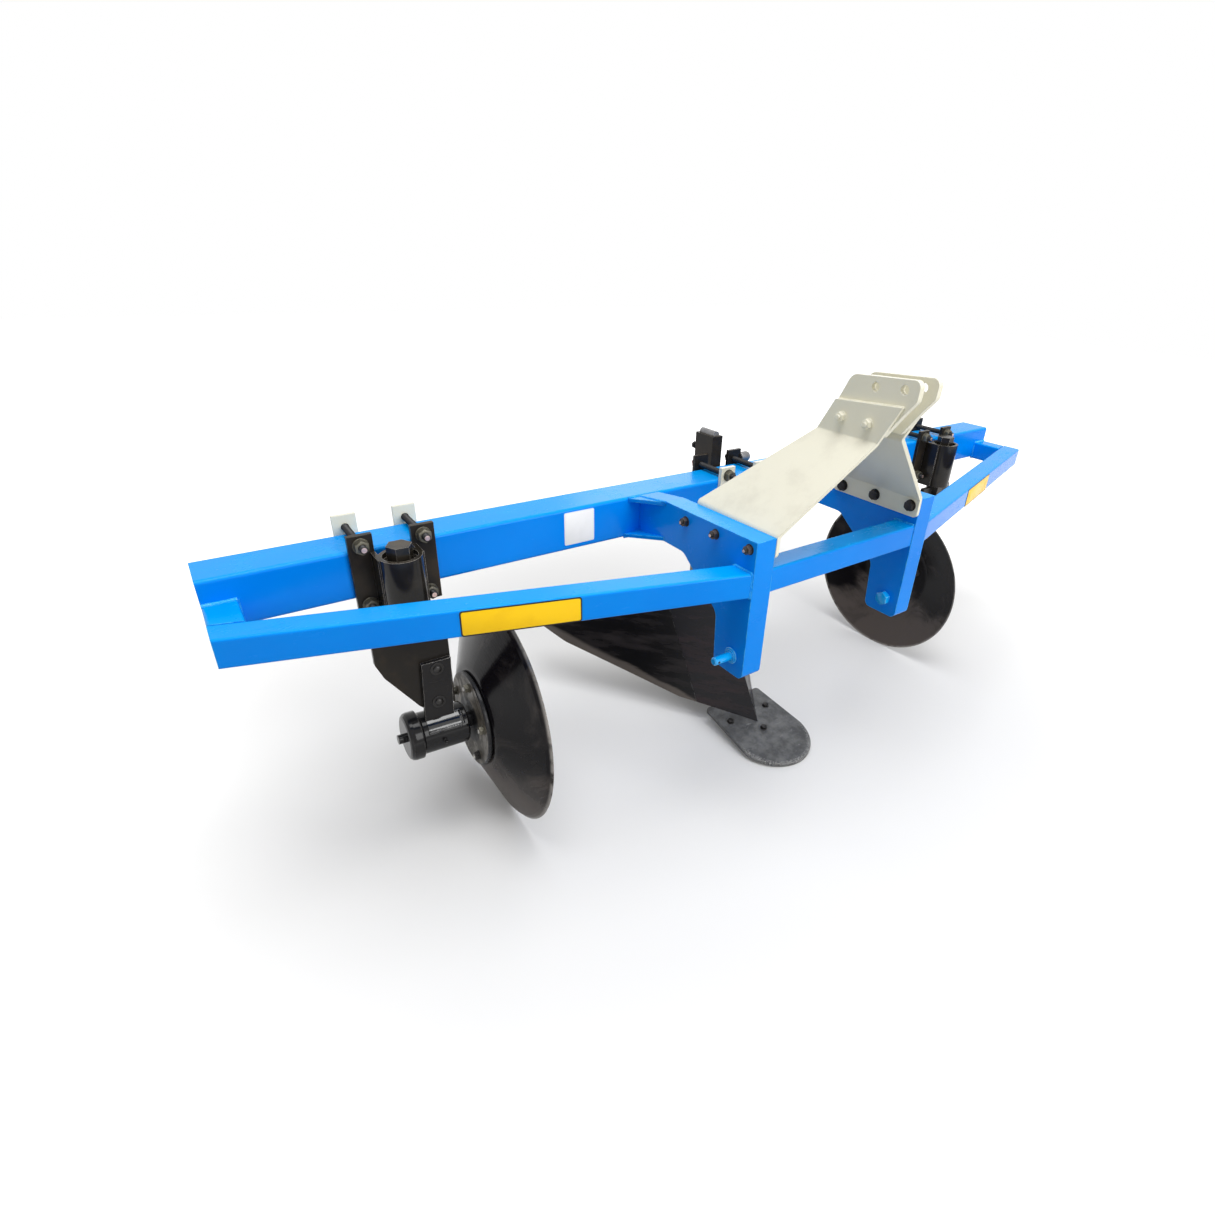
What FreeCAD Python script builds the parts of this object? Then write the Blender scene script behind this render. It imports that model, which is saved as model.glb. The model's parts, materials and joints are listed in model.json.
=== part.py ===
import FreeCAD, Part

import math
import os

import Sketcher
from FreeCAD import Placement, Rotation, Vector

# Disc ditcher for a tractor's three-point linkage.
# The frame is welded from square tube: a deep rear beam, slanting front tubes and two side
# members that carry the hitch.  Two dished discs hang from clamps at the ends of the beam, and
# a V-shaped ditching body with a round-nosed share hangs from a clamp at its middle.
#
# X runs to the machine's right, +Y to its rear and +Z up.  The origin is on the ground, under
# the middle of the machine.  Pieces are drawn about the frame datum, which is the middle of the
# rear beam's front face at the height of its top, and are then placed there.

doc = FreeCAD.newDocument("disc_ditcher")

# Driving dimensions, in millimetres and degrees.
DIMENSIONS = {
    # frame
    "beam_length": 2822,
    "beam_section": 116,
    "beam_wall": 6,
    "beam_corner": 9,
    "beam_setback": 46.4,
    "tube_section": 65,
    "tube_wall": 5,
    "tube_corner": 6,
    "tube_drop": 54,
    "end_reach": 155,
    "front_reach": 468,
    # side members and lower hitch
    "hitch_spread": 683,
    "member_thickness": 62,
    "member_wall": 8,
    "member_rise": 25,
    "member_shoulder": 18,
    "member_lift": 21,
    "member_lead": 2,
    "member_crest": 120,
    "member_heel_drop": 20,
    "member_bulkhead": 62,
    "leg_width": 110,
    "leg_drop": 353,
    "leg_toe_round": 18,
    "elbow_step": 8,
    "elbow_level": 208,
    "armpit": 205,
    "elbow_round": 35,
    "core_over_pin": 30,
    "core_slope": 13,
    "gusset_leg": 41,
    "gusset_foot_leg": 53,
    "gusset_thickness": 10,
    "gusset_sink": 2,
    "pin_diameter": 22,
    "pin_reach": 60,
    "pin_drop": 300,
    "pin_inset": 44,
    "pin_collar": 34,
    "pin_shoulder": 6,
    "pin_nut": 18,
    "pin_chamfer": 3,
    "pin_fit": 0.05,
    # headstock
    "headstock_thickness": 10,
    "headstock_bend_height": 232,
    "headstock_top": 309,
    "fold_level": 28,
    "flange_lead": 4,
    "flange_rear": 297,
    "flange_sill": 29,
    "flange_round": 12,
    "panel_lead": 60,
    "panel_rear": 123,
    "panel_foot": 292,
    "panel_foot_rise": 4,
    "fold_round": 5,
    "cheek_lead": 107,
    "cheek_rear": 80,
    "cheek_crest": 13,
    "ear_gap": 52,
    "ear_thickness": 16,
    "ear_heel": 116,
    "ear_root": 14,
    "ear_toe": 64,
    "ear_shoulder": 50,
    "ear_shoulder_rise": 62,
    "ear_snout": 135,
    "ear_snout_rise": 74,
    "ear_lip": 133,
    "ear_lip_rise": 29,
    "ear_throat": 3,
    "ear_snout_round": 16,
    "ear_shoulder_round": 27,
    "ear_hole": 22,
    "ear_hole_lead": 97,
    "ear_hole_rise": 49,
    "ear_hole_pitch": 77,
    "ear_hole_fall": 6,
    # clamps on the rear beam
    "clamp_from_end": 385,
    "rod_pitch": 138,
    "rod_diameter": 18,
    "rod_clear": 14,
    "rod_fit": 0.5,
    "clamp_plate_width": 54,
    "clamp_plate_thickness": 12,
    "clamp_plate_top": 38,
    "clamp_plate_under": 36,
    "back_tab_top": 44,
    "back_plate_thickness": 10,
    "back_plate_dip": 6,
    "rod_tail": 30,
    "sleeve_diameter": 95,
    "sleeve_wall": 9,
    "sleeve_top": 5,
    "sleeve_bottom": 165,
    "sleeve_stand": 58,
    "web_thickness": 10,
    "web_overlap": 1,
    "web_nose": 8,
    # arms and hubs
    "shank_across": 50,
    "shank_top": 20,
    "shank_bottom": 206,
    "shank_fit": 0.08,
    "bush_height": 30,
    "bush_sink": 12,
    "arm_plate_thickness": 14,
    "arm_plate_top": 172,
    "arm_plate_outer": 94,
    "arm_plate_inner": 80,
    "arm_plate_shoulder": 262,
    "arm_plate_cheek": 16,
    "arm_plate_cheek_level": 303,
    "arm_plate_knee": 9,
    "arm_plate_knee_level": 407,
    "arm_plate_toe": 8,
    "arm_plate_foot": 425,
    "strap_width": 72,
    "strap_thickness": 12,
    "strap_top": 287,
    "strap_margin": 2,
    "strap_lean": 10,
    "strap_foot": 20,
    "hub_drop": 500,
    "housing_radius": 54,
    "housing_length": 119,
    "housing_chamfer": 4,
    "cap_radius": 62,
    "cap_length": 33,
    "cap_edge": 2,
    "cap_round": 14,
    "cap_wall": 8,
    "boss_radius": 12,
    "boss_length": 17,
    "hub_radius": 128,
    "hub_thickness": 12,
    "hub_round": 4,
    "hub_gap": 17,
    "hub_trail": 6,
    "axle_radius": 20,
    "axle_fit": 0.05,
    "axle_room": 3,
    "axle_end": 12,
    # discs
    "disc_radius": 305,
    "disc_depth": 73.5,
    "disc_flat": 140,
    "disc_knee": 40,
    "disc_thickness": 6,
    "disc_bevel": 14,
    "disc_edge": 1,
    "disc_inset": 207.5,
    "disc_toe": 1.2,
    "disc_tilt": 2.3,
    # ditching body and its shank
    "body_offset": 41,
    "body_shank_width": 24,
    "body_shank_depth": 68,
    "body_shank_top": 106,
    "body_shank_lift": 123,
    "body_shank_crown": 0.1,
    "socket_wall": 8,
    "socket_top": 92,
    "frog_thickness": 14,
    "frog_top": 430,
    "frog_brow": 60,
    "frog_toe": 100,
    "frog_heel": 10,
    "frog_heel_rise": 60,
    "stay_diameter": 30,
    "stay_level": 545,
    "stay_reach": 336,
    "board_thickness": 7,
    "board_sweep": 50,
    "board_lean": 32.2,
    "board_nose": 253,
    "board_hollow": 8,
    "board_top": 340,
    "board_fall": 19.3,
    "board_over": 30,
    "board_backing": 150,
    "shin_width": 124,
    "shin_gap": 0.5,
    "wing_lift": 57,
    "wing_heel": 16,
    "wing_pitch": 25.3,
    "wing_reach": 480,
    "wing_overrun": 20,
    "wing_turn": 75,
    "wing_turn_round": 70,
    "wing_cheek": 10,
    "wing_cheek_rise": 58,
    "wing_cheek_round": 40,
    "wing_side_rise": 94,
    "wing_top_round": 18,
    "share_width": 262,
    "share_heel": 234,
    "share_thickness": 12,
    "share_nose": 432,
    "share_tail": 105,
    "share_slope": 7.5,
    "share_shoulder": 110,
    "share_lift": 15,
    "share_depth": 150,
    "share_heel_round": 12,
    "share_nose_round": 5,
    "seat_gap": 0.3,
}

sheet = doc.addObject("Spreadsheet::Sheet", "Dimensions")
for row, (alias, number) in enumerate(DIMENSIONS.items(), 1):
    sheet.set("A%d" % row, alias)
    sheet.set("B%d" % row, str(number))
    sheet.setAlias("B%d" % row, alias)
doc.recompute()


class Size:
    """A length or ratio that knows both its number and its expression in the sheet's cells."""

    def __init__(self, number, text):
        self.number = float(number)
        self.text = text

    def _join(self, other, sign, number):
        return Size(number, "(%s %s %s)" % (self.text, sign, size(other).text))

    def __add__(self, other):
        return self._join(other, "+", self.number + size(other).number)

    def __sub__(self, other):
        return self._join(other, "-", self.number - size(other).number)

    def __mul__(self, other):
        return self._join(other, "*", self.number * size(other).number)

    def __truediv__(self, other):
        return self._join(other, "/", self.number / size(other).number)

    def __radd__(self, other):
        return size(other) + self

    def __rsub__(self, other):
        return size(other) - self

    def __rmul__(self, other):
        return size(other) * self

    def __neg__(self):
        return size(0) - self


def size(value):
    """Wrap a plain number, or pass a Size through."""
    if isinstance(value, Size):
        return value
    return Size(value, repr(float(value)))


def cell(alias):
    """The sheet's value under this alias."""
    return Size(sheet.get(alias), "Dimensions." + alias)


def sine(angle):
    return Size(math.sin(math.radians(angle.number)), "sin(%s)" % angle.text)


def cosine(angle):
    return Size(math.cos(math.radians(angle.number)), "cos(%s)" % angle.text)


def tangent(angle):
    return Size(math.tan(math.radians(angle.number)), "tan(%s)" % angle.text)


def slope_angle(rise, run):
    """The angle in degrees whose tangent is rise over run."""
    ratio = rise / run
    return Size(math.degrees(math.atan(ratio.number)), "(atan(%s) / 1 deg)" % ratio.text)


D = {alias: cell(alias) for alias in DIMENSIONS}

# The discs stand on the ground, so the frame's height follows from their size and lean.
DISC_FOOT = D["disc_inset"] * sine(D["disc_tilt"]) + D["disc_radius"] * cosine(D["disc_tilt"])
BEAM_HEIGHT = D["hub_drop"] + DISC_FOOT


def bind(thing, name, value):
    """Set a property from the sheet through an expression."""
    thing.setExpression(name, size(value).text)


def place(thing, x, y, z, turn=None):
    """Give a sub-part its Placement, driven from the sheet."""
    base = Vector(size(x).number, size(y).number, size(z).number)
    thing.Placement = Placement(base, turn if turn else Rotation())
    bind(thing, "Placement.Base.x", x)
    bind(thing, "Placement.Base.y", y)
    bind(thing, "Placement.Base.z", z)


def place_at_datum(thing):
    """Put a piece that is drawn about the frame datum where the frame stands."""
    place(thing, 0, D["beam_setback"], BEAM_HEIGHT)


nodes = []


def publish(thing, label):
    """Name a finished sub-part; every published sub-part becomes one file."""
    thing.Label = label
    nodes.append(thing)
    return thing


def new_body(name):
    return doc.addObject("PartDesign::Body", name)


def plane_of(body, role):
    for feature in body.Origin.OriginFeatures:
        if feature.Role == role:
            return feature
    raise ValueError(role)


def new_sketch(body, role, name, offset=0):
    """A sketch on one of the body's own planes, moved along that plane's normal."""
    sketch = body.newObject("Sketcher::SketchObject", name)
    sketch.AttachmentSupport = [(plane_of(body, role), "")]
    sketch.MapMode = "FlatFace"
    offset = size(offset)
    sketch.AttachmentOffset = Placement(Vector(0, 0, offset.number), Rotation())
    bind(sketch, "AttachmentOffset.Base.z", offset)
    return sketch


def pin_vertex(sketch, geometry, vertex, x, y, name):
    """Hold one vertex at its distances from the sketch's origin."""
    for kind, value, tag in (("DistanceX", size(x), "x"), ("DistanceY", size(y), "y")):
        index = sketch.addConstraint(Sketcher.Constraint(kind, -1, 1, geometry, vertex, value.number))
        sketch.renameConstraint(index, name + tag)
        sketch.setExpression("Constraints." + name + tag, value.text)


def draw_polygon(sketch, points, prefix="p"):
    """A closed outline of straight lines through points given as pairs of sizes."""
    points = [(size(x), size(y)) for x, y in points]
    vectors = [Vector(x.number, y.number, 0) for x, y in points]
    first = sketch.GeometryCount
    count = len(vectors)
    for i in range(count):
        sketch.addGeometry(Part.LineSegment(vectors[i], vectors[(i + 1) % count]), False)
    for i in range(count):
        sketch.addConstraint(Sketcher.Constraint("Coincident", first + i, 2, first + (i + 1) % count, 1))
    for i, (x, y) in enumerate(points):
        pin_vertex(sketch, first + i, 1, x, y, "%s%d" % (prefix, i))


def draw_circle(sketch, x, y, radius, name="c"):
    x, y, radius = size(x), size(y), size(radius)
    circle = Part.Circle(Vector(x.number, y.number, 0), Vector(0, 0, 1), radius.number)
    index = sketch.addGeometry(circle, False)
    pin_vertex(sketch, index, 3, x, y, name)
    held = sketch.addConstraint(Sketcher.Constraint("Radius", index, radius.number))
    sketch.renameConstraint(held, name + "r")
    sketch.setExpression("Constraints." + name + "r", radius.text)


def rectangle(x0, y0, x1, y1):
    return [(x0, y0), (x1, y0), (x1, y1), (x0, y1)]


def pad(body, sketch, length, name, both=False, backward=False):
    feature = body.newObject("PartDesign::Pad", name)
    feature.Profile = sketch
    bind(feature, "Length", length)
    feature.Midplane = both
    feature.Reversed = backward
    body.Tip = feature
    return feature


def pocket(body, sketch, length, name, both=False, backward=False):
    """Cut a sketch out of the body, and make sure that it did cut."""
    doc.recompute()
    before = body.Shape.Volume
    feature = body.newObject("PartDesign::Pocket", name)
    feature.Profile = sketch
    bind(feature, "Length", length)
    feature.Midplane = both
    feature.Reversed = backward
    body.Tip = feature
    doc.recompute()
    if body.Shape.Volume > before - 1:
        raise RuntimeError("pocket %s cut nothing" % name)
    return feature


def revolve(body, sketch, axis, name):
    feature = body.newObject("PartDesign::Revolution", name)
    feature.Profile = sketch
    feature.ReferenceAxis = (sketch, [axis])
    feature.Angle = 360
    body.Tip = feature
    return feature


def fillet(body, feature, radius, name, chosen):
    """Round the edges of a feature for which chosen(edge) holds."""
    doc.recompute()
    edges = feature.Shape.Edges
    picked = ["Edge%d" % (i + 1) for i, edge in enumerate(edges) if chosen(edge)]
    if not picked:
        raise RuntimeError("no edge for " + name)
    rounded = body.newObject("PartDesign::Fillet", name)
    rounded.Base = (feature, picked)
    bind(rounded, "Radius", radius)
    body.Tip = rounded
    return rounded


def runs_along(axis):
    """A test for straight edges parallel to an axis."""
    def test(edge):
        if edge.Curve.TypeId != "Part::GeomLine":
            return False
        return abs(abs(edge.Curve.Direction.dot(axis)) - 1) < 1e-6
    return test


def circles_of(radius):
    """A test for round edges of one radius."""
    def test(edge):
        return edge.Curve.TypeId == "Part::GeomCircle" and abs(edge.Curve.Radius - size(radius).number) < 1e-3
    return test


def corners_at(axis, *points):
    """A test for edges parallel to an axis that pass through one of the given points."""
    along = runs_along(axis)
    corners = [Vector(*(size(value).number for value in point)) for point in points]

    def test(edge):
        if not along(edge):
            return False
        for corner in corners:
            away = edge.CenterOfMass - corner
            if (away - axis * away.dot(axis)).Length < 0.5:
                return True
        return False
    return test


def hollow(outer, inner, label):
    """A closed hollow piece: the outer form with a sealed cavity."""
    shell = doc.addObject("Part::Cut", label + "_shell")
    shell.Base = outer
    shell.Tool = inner
    return shell


X_AXIS = Vector(1, 0, 0)
Y_AXIS = Vector(0, 1, 0)
Z_AXIS = Vector(0, 0, 1)

HALF = D["beam_length"] / 2
OUTER = D["hitch_spread"] / 2
INNER = OUTER - D["member_thickness"]
FRONT = -D["front_reach"]
PIN_LINE = FRONT + D["pin_inset"]
CLAMP_OFFSET = HALF - D["clamp_from_end"]
TUBE_TOP = -D["tube_drop"]
TUBE_BOTTOM = TUBE_TOP - D["tube_section"]
SLANT = slope_angle(D["front_reach"] - D["end_reach"], HALF - OUTER)
TUBE_RUN = D["tube_section"] / cosine(SLANT)


def rear_beam():
    """Square tube across the back, closed by an end plate at each end."""
    outer = new_body("beam_outer")
    section = D["beam_section"]
    sketch = new_sketch(outer, "YZ_Plane", "beam_profile")
    draw_polygon(sketch, rectangle(0, -section, section, 0))
    block = pad(outer, sketch, D["beam_length"], "beam_block", both=True)
    fillet(outer, block, D["beam_corner"], "beam_corners", runs_along(X_AXIS))
    inner = new_body("beam_inner")
    wall = D["beam_wall"]
    sketch = new_sketch(inner, "YZ_Plane", "beam_bore")
    draw_polygon(sketch, rectangle(wall, wall - section, section - wall, -wall))
    pad(inner, sketch, D["beam_length"] - 2 * wall, "beam_void", both=True)
    place_at_datum(publish(hollow(outer, inner, "rear_beam"), "rear_beam"))


def plan_tube(label, outline, inset):
    """A tube drawn in plan, with rounded long corners and a sealed cavity."""
    outer = new_body(label + "_outer")
    sketch = new_sketch(outer, "XY_Plane", label + "_plan", TUBE_BOTTOM)
    draw_polygon(sketch, outline)
    block = pad(outer, sketch, D["tube_section"], label + "_block")
    doc.recompute()
    long_edges = sorted((e for e in block.Shape.Edges if abs(e.tangentAt(e.FirstParameter).z) < 0.5),
                        key=lambda e: -e.Length)[:4]
    keys = {e.hashCode() for e in long_edges}
    fillet(outer, block, D["tube_corner"], label + "_corners", lambda e: e.hashCode() in keys)
    inner = new_body(label + "_inner")
    wall = D["tube_wall"]
    sketch = new_sketch(inner, "XY_Plane", label + "_bore", TUBE_BOTTOM + wall)
    draw_polygon(sketch, inset)
    pad(inner, sketch, D["tube_section"] - 2 * wall, label + "_void")
    place_at_datum(publish(hollow(outer, inner, label), label))


def slant_line(x, shift):
    """How far forward the slanting tube's front face is at x, moved back by shift."""
    return -D["end_reach"] - (HALF - x) * tangent(SLANT) + shift


def front_tube_slanting(side, label):
    """Runs from the end of the frame inwards and forwards to the side member."""
    wall = D["tube_wall"]
    skew = wall / cosine(SLANT)
    x0, x1 = HALF, OUTER
    outline = [(side * x0, slant_line(x0, 0)), (side * x1, slant_line(x1, 0)),
               (side * x1, slant_line(x1, TUBE_RUN)), (side * x0, slant_line(x0, TUBE_RUN))]
    a, b = x0 - wall, x1 + wall
    inset = [(side * a, slant_line(a, skew)), (side * b, slant_line(b, skew)),
             (side * b, slant_line(b, TUBE_RUN - skew)), (side * a, slant_line(a, TUBE_RUN - skew))]
    plan_tube(label, outline, inset)


def end_tube(side, label):
    """Closes the end of the frame between the rear beam and the slanting tube."""
    wall = D["tube_wall"]
    x0 = HALF
    x1 = HALF - D["tube_section"]
    outline = [(side * x0, 0), (side * x1, 0),
               (side * x1, slant_line(x1, TUBE_RUN)), (side * x0, slant_line(x0, TUBE_RUN))]
    a, b = x0 - wall, x1 + wall
    inset = [(side * a, -wall), (side * b, -wall),
             (side * b, slant_line(b, TUBE_RUN) + wall), (side * a, slant_line(a, TUBE_RUN) + wall)]
    plan_tube(label, outline, inset)


def front_tube_centre():
    """Joins the two side members at the front."""
    wall = D["tube_wall"]
    front = -D["front_reach"]
    back = front + D["tube_section"]
    plan_tube("front_tube_centre", rectangle(-INNER, front, INNER, back),
              rectangle(wall - INNER, front + wall, INNER - wall, back - wall))


def side_member(side, label):
    """Fabricated box that carries the hitch pin below and the headstock above."""
    outer = new_body(label + "_outer")
    thickness = D["member_thickness"]
    middle = side * (OUTER - thickness / 2)
    front = FRONT - D["member_lead"]
    back = front + D["leg_width"]
    top = D["member_rise"]
    under = D["member_lift"] - D["beam_section"]
    foot = -D["leg_drop"]
    crest = -D["member_crest"]
    shoulder = D["member_shoulder"]
    elbow = (back + D["elbow_step"], -D["elbow_level"])
    armpit = (-D["armpit"], under)
    sketch = new_sketch(outer, "YZ_Plane", label + "_side", middle)
    draw_polygon(sketch, [(0, 0), (crest, shoulder), (front, top), (front, foot), (back, foot), elbow,
                          armpit, (crest, under), (0, under - D["member_heel_drop"])])
    block = pad(outer, sketch, thickness, label + "_block", both=True)
    toes = fillet(outer, block, D["leg_toe_round"], label + "_toes",
                  corners_at(X_AXIS, (0, front, foot), (0, back, foot)))
    fillet(outer, toes, D["elbow_round"], label + "_elbows", corners_at(X_AXIS, (0,) + elbow, (0,) + armpit))
    bore = new_sketch(outer, "YZ_Plane", label + "_pin_bore", middle)
    draw_circle(bore, PIN_LINE, -D["pin_drop"], D["pin_diameter"] / 2 + D["pin_fit"])
    pocket(outer, bore, 2 * thickness, label + "_pin_hole", both=True)
    inner = new_body(label + "_inner")
    sketch = new_sketch(inner, "YZ_Plane", label + "_hollow", middle)
    wall = D["member_wall"]
    above_pin = D["core_over_pin"] - D["pin_drop"]
    bulkhead = -D["member_bulkhead"]
    draw_polygon(sketch, [(bulkhead, -wall), (crest, shoulder - wall), (front + wall, top - wall),
                          (front + wall, above_pin), (back - wall, above_pin),
                          (back - wall, D["core_slope"] - D["elbow_level"]),
                          (-D["armpit"] - wall / 2, under + wall), (bulkhead, under + wall)])
    pad(inner, sketch, thickness - 2 * wall, label + "_void", both=True)
    place_at_datum(publish(hollow(outer, inner, label), label))


def corner_gussets(side, label):
    """Two triangles that close the corner between beam and side member, above and below."""
    body = new_body(label)
    thickness = D["gusset_thickness"]
    run = D["member_crest"]
    sink = D["gusset_sink"]
    deep = D["beam_section"]
    plates = (("upper", -sink, D["member_shoulder"], D["gusset_leg"], True),
              ("lower", sink + thickness - deep, D["member_heel_drop"], D["gusset_foot_leg"], False))
    for name, level, climb, leg, upward in plates:
        strip = new_sketch(body, "YZ_Plane", "%s_%s" % (label, name), side * OUTER)
        draw_polygon(strip, [(0, level - thickness), (0, level), (-run, level + climb),
                             (-run, level + climb - thickness)])
        pad(body, strip, leg, "%s_%s_pad" % (label, name), backward=side < 0)
        waste = new_sketch(body, "XY_Plane", "%s_%s_waste" % (label, name), -deep / 2)
        draw_polygon(waste, [(side * OUTER, -run), (side * (OUTER + leg), 0), (side * (OUTER + 2 * leg), 0),
                             (side * (OUTER + 2 * leg), -2 * run), (side * OUTER, -2 * run)])
        pocket(body, waste, deep, "%s_%s_cut" % (label, name), backward=upward)
    place_at_datum(publish(body, label))


def hitch_pin(side, label):
    """Lower link pin with a shoulder outside the side member and a nut inside it."""
    body = new_body(label)
    sketch = new_sketch(body, "XZ_Plane", label + "_profile")
    radius = D["pin_diameter"] / 2
    collar = D["pin_collar"] / 2
    reach = OUTER + D["pin_reach"]
    tail = INNER - D["pin_nut"]
    shoulder = OUTER + D["pin_shoulder"]
    chamfer = D["pin_chamfer"]
    points = [(tail, 0), (tail, collar), (INNER, collar), (INNER, radius), (OUTER, radius), (OUTER, collar),
              (shoulder, collar), (shoulder, radius), (reach - chamfer, radius), (reach, radius - chamfer),
              (reach, 0)]
    draw_polygon(sketch, [(side * x, r) for x, r in points])
    revolve(body, sketch, "H_Axis", label + "_turned")
    place(body, 0, D["beam_setback"] + PIN_LINE, BEAM_HEIGHT - D["pin_drop"])
    publish(body, label)


def headstock_plate(side, label):
    """Bent plate: a bolted flange, a broad panel leaning inwards and an upright cheek."""
    folded = new_body(label + "_fold")
    thickness = D["headstock_thickness"]
    foot = INNER
    cheek = D["ear_gap"] / 2 + D["ear_thickness"] + thickness
    rise = D["fold_level"]
    bend = D["headstock_bend_height"]
    top = D["headstock_top"]
    crest = top + D["cheek_crest"]
    sill = -D["flange_sill"]
    lean = slope_angle(foot - cheek, bend - rise)
    mitre = thickness * tangent(lean / 2)
    low = sill - thickness
    high = crest + thickness
    outside = [(foot, low), (foot, rise), (cheek, bend), (cheek, high)]
    inside = [(cheek - thickness, high), (cheek - thickness, bend - mitre), (foot - thickness, rise - mitre),
              (foot - thickness, low)]
    sketch = new_sketch(folded, "XZ_Plane", label + "_section")
    draw_polygon(sketch, [(side * x, z) for x, z in outside + inside])
    run = pad(folded, sketch, 2 * D["front_reach"], label + "_run")
    round_in = D["fold_round"]
    for name, radius, (x0, z0), (x1, z1) in (("_bends", thickness + round_in, outside[1], inside[1]),
                                             ("_creases", round_in, outside[2], inside[2])):
        run = fillet(folded, run, radius, label + name,
                     corners_at(Y_AXIS, (side * x0, 0, z0), (side * x1, 0, z1)))
    trim = new_body(label + "_trim")
    outline = new_sketch(trim, "YZ_Plane", label + "_outline")
    toe = (FRONT - D["flange_lead"], sill)
    heel = (FRONT + D["flange_rear"], sill)
    draw_polygon(outline, [heel, toe, (toe[0], rise), (FRONT - D["panel_lead"], bend),
                           (FRONT - D["cheek_lead"], crest), (FRONT + D["cheek_rear"], top),
                           (FRONT + D["panel_rear"], bend),
                           (FRONT + D["panel_foot"], rise + D["panel_foot_rise"])])
    block = pad(trim, outline, 2 * OUTER, label + "_trim_pad", both=True)
    fillet(trim, block, D["flange_round"], label + "_trim_corners",
           corners_at(X_AXIS, (0,) + heel, (0,) + toe))
    cut = doc.addObject("Part::Common", label + "_plate")
    cut.Base = folded
    cut.Tool = trim
    place_at_datum(publish(cut, label))


def top_link_ear(side, label):
    """Thick upright ear with two alternative holes for the top link pin."""
    body = new_body(label)
    thickness = D["ear_thickness"]
    middle = side * (D["ear_gap"] / 2 + thickness / 2)
    root = D["headstock_bend_height"] + D["ear_root"]
    top = D["headstock_top"]
    shoulder = (FRONT + D["ear_shoulder"], top + D["ear_shoulder_rise"])
    snout = (FRONT - D["ear_snout"], top + D["ear_snout_rise"])
    lip = (FRONT - D["ear_lip"], top + D["ear_lip_rise"])
    sketch = new_sketch(body, "YZ_Plane", label + "_outline", middle)
    draw_polygon(sketch, [(FRONT + D["ear_heel"], root), (FRONT + D["cheek_rear"], top), shoulder, snout, lip,
                          (FRONT - D["cheek_lead"], top - D["ear_throat"]), (FRONT - D["ear_toe"], root)])
    block = pad(body, sketch, thickness, label + "_pad", both=True)
    fronts = fillet(body, block, D["ear_snout_round"], label + "_snout",
                    corners_at(X_AXIS, (0,) + snout, (0,) + lip))
    fillet(body, fronts, D["ear_shoulder_round"], label + "_shoulder", corners_at(X_AXIS, (0,) + shoulder))
    holes = new_sketch(body, "YZ_Plane", label + "_holes", middle)
    hole = D["ear_hole"] / 2
    ahead = FRONT - D["ear_hole_lead"]
    level = top + D["ear_hole_rise"]
    draw_circle(holes, ahead, level, hole, "front")
    draw_circle(holes, ahead + D["ear_hole_pitch"], level - D["ear_hole_fall"], hole, "rear")
    pocket(body, holes, 2 * thickness, label + "_bores", both=True)
    place_at_datum(publish(body, label))


def group(things, label):
    """Like pieces that don't touch, kept as one sub-part."""
    compound = doc.addObject("Part::Compound", label)
    compound.Links = things
    return publish(compound, label)


def clamp_plates(centre, label):
    """Two upright flats on the front of the beam, each drilled for an upper and a lower rod."""
    body = new_body(label)
    half = D["clamp_plate_width"] / 2
    sketch = new_sketch(body, "XZ_Plane", label + "_outline")
    for i, x in enumerate((centre - D["rod_pitch"] / 2, centre + D["rod_pitch"] / 2)):
        draw_polygon(sketch, rectangle(x - half, PLATE_FOOT, x + half, D["clamp_plate_top"]),
                     "plate%d" % i)
        for k, z in enumerate(ROD_LEVELS):
            draw_circle(sketch, x, z, D["rod_diameter"] / 2 + D["rod_fit"], "hole%d%d" % (i, k))
    pad(body, sketch, D["clamp_plate_thickness"], label + "_pad")
    place_at_datum(publish(body, label))


def clamp_rods(centre, label):
    """Four threaded rods, two over and two under the beam, from front plate to back plate."""
    rods = []
    half = D["rod_pitch"] / 2
    length = D["beam_section"] + D["clamp_plate_thickness"] + D["back_plate_thickness"] + 2 * D["rod_tail"]
    start = -D["clamp_plate_thickness"] - D["rod_tail"]
    for x in (centre - half, centre + half):
        for z in ROD_LEVELS:
            rod = doc.addObject("Part::Cylinder", "%s_rod%d" % (label, len(rods)))
            bind(rod, "Radius", D["rod_diameter"] / 2)
            bind(rod, "Height", length)
            place(rod, x, start, z, Rotation(X_AXIS, -90))
            rods.append(rod)
    place_at_datum(group(rods, label))


def back_plate(centre, label):
    """U-shaped plate behind the beam, whose two tabs take the upper rods."""
    body = new_body(label)
    half = D["rod_pitch"] / 2 + D["clamp_plate_width"] / 2
    gap = D["rod_pitch"] / 2 - D["clamp_plate_width"] / 2
    sketch = new_sketch(body, "XZ_Plane", label + "_outline", -D["beam_section"])
    top = D["back_tab_top"]
    foot = PLATE_FOOT
    dip = -D["back_plate_dip"]
    draw_polygon(sketch, [(centre - half, foot), (centre + half, foot), (centre + half, top),
                          (centre + gap, top), (centre + gap, dip), (centre - gap, dip),
                          (centre - gap, top), (centre - half, top)])
    for i, x in enumerate((centre - D["rod_pitch"] / 2, centre + D["rod_pitch"] / 2)):
        for k, z in enumerate(ROD_LEVELS):
            draw_circle(sketch, x, z, D["rod_diameter"] / 2 + D["rod_fit"], "hole%d%d" % (i, k))
    pad(body, sketch, D["back_plate_thickness"], label + "_pad", backward=True)
    place_at_datum(publish(body, label))


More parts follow.
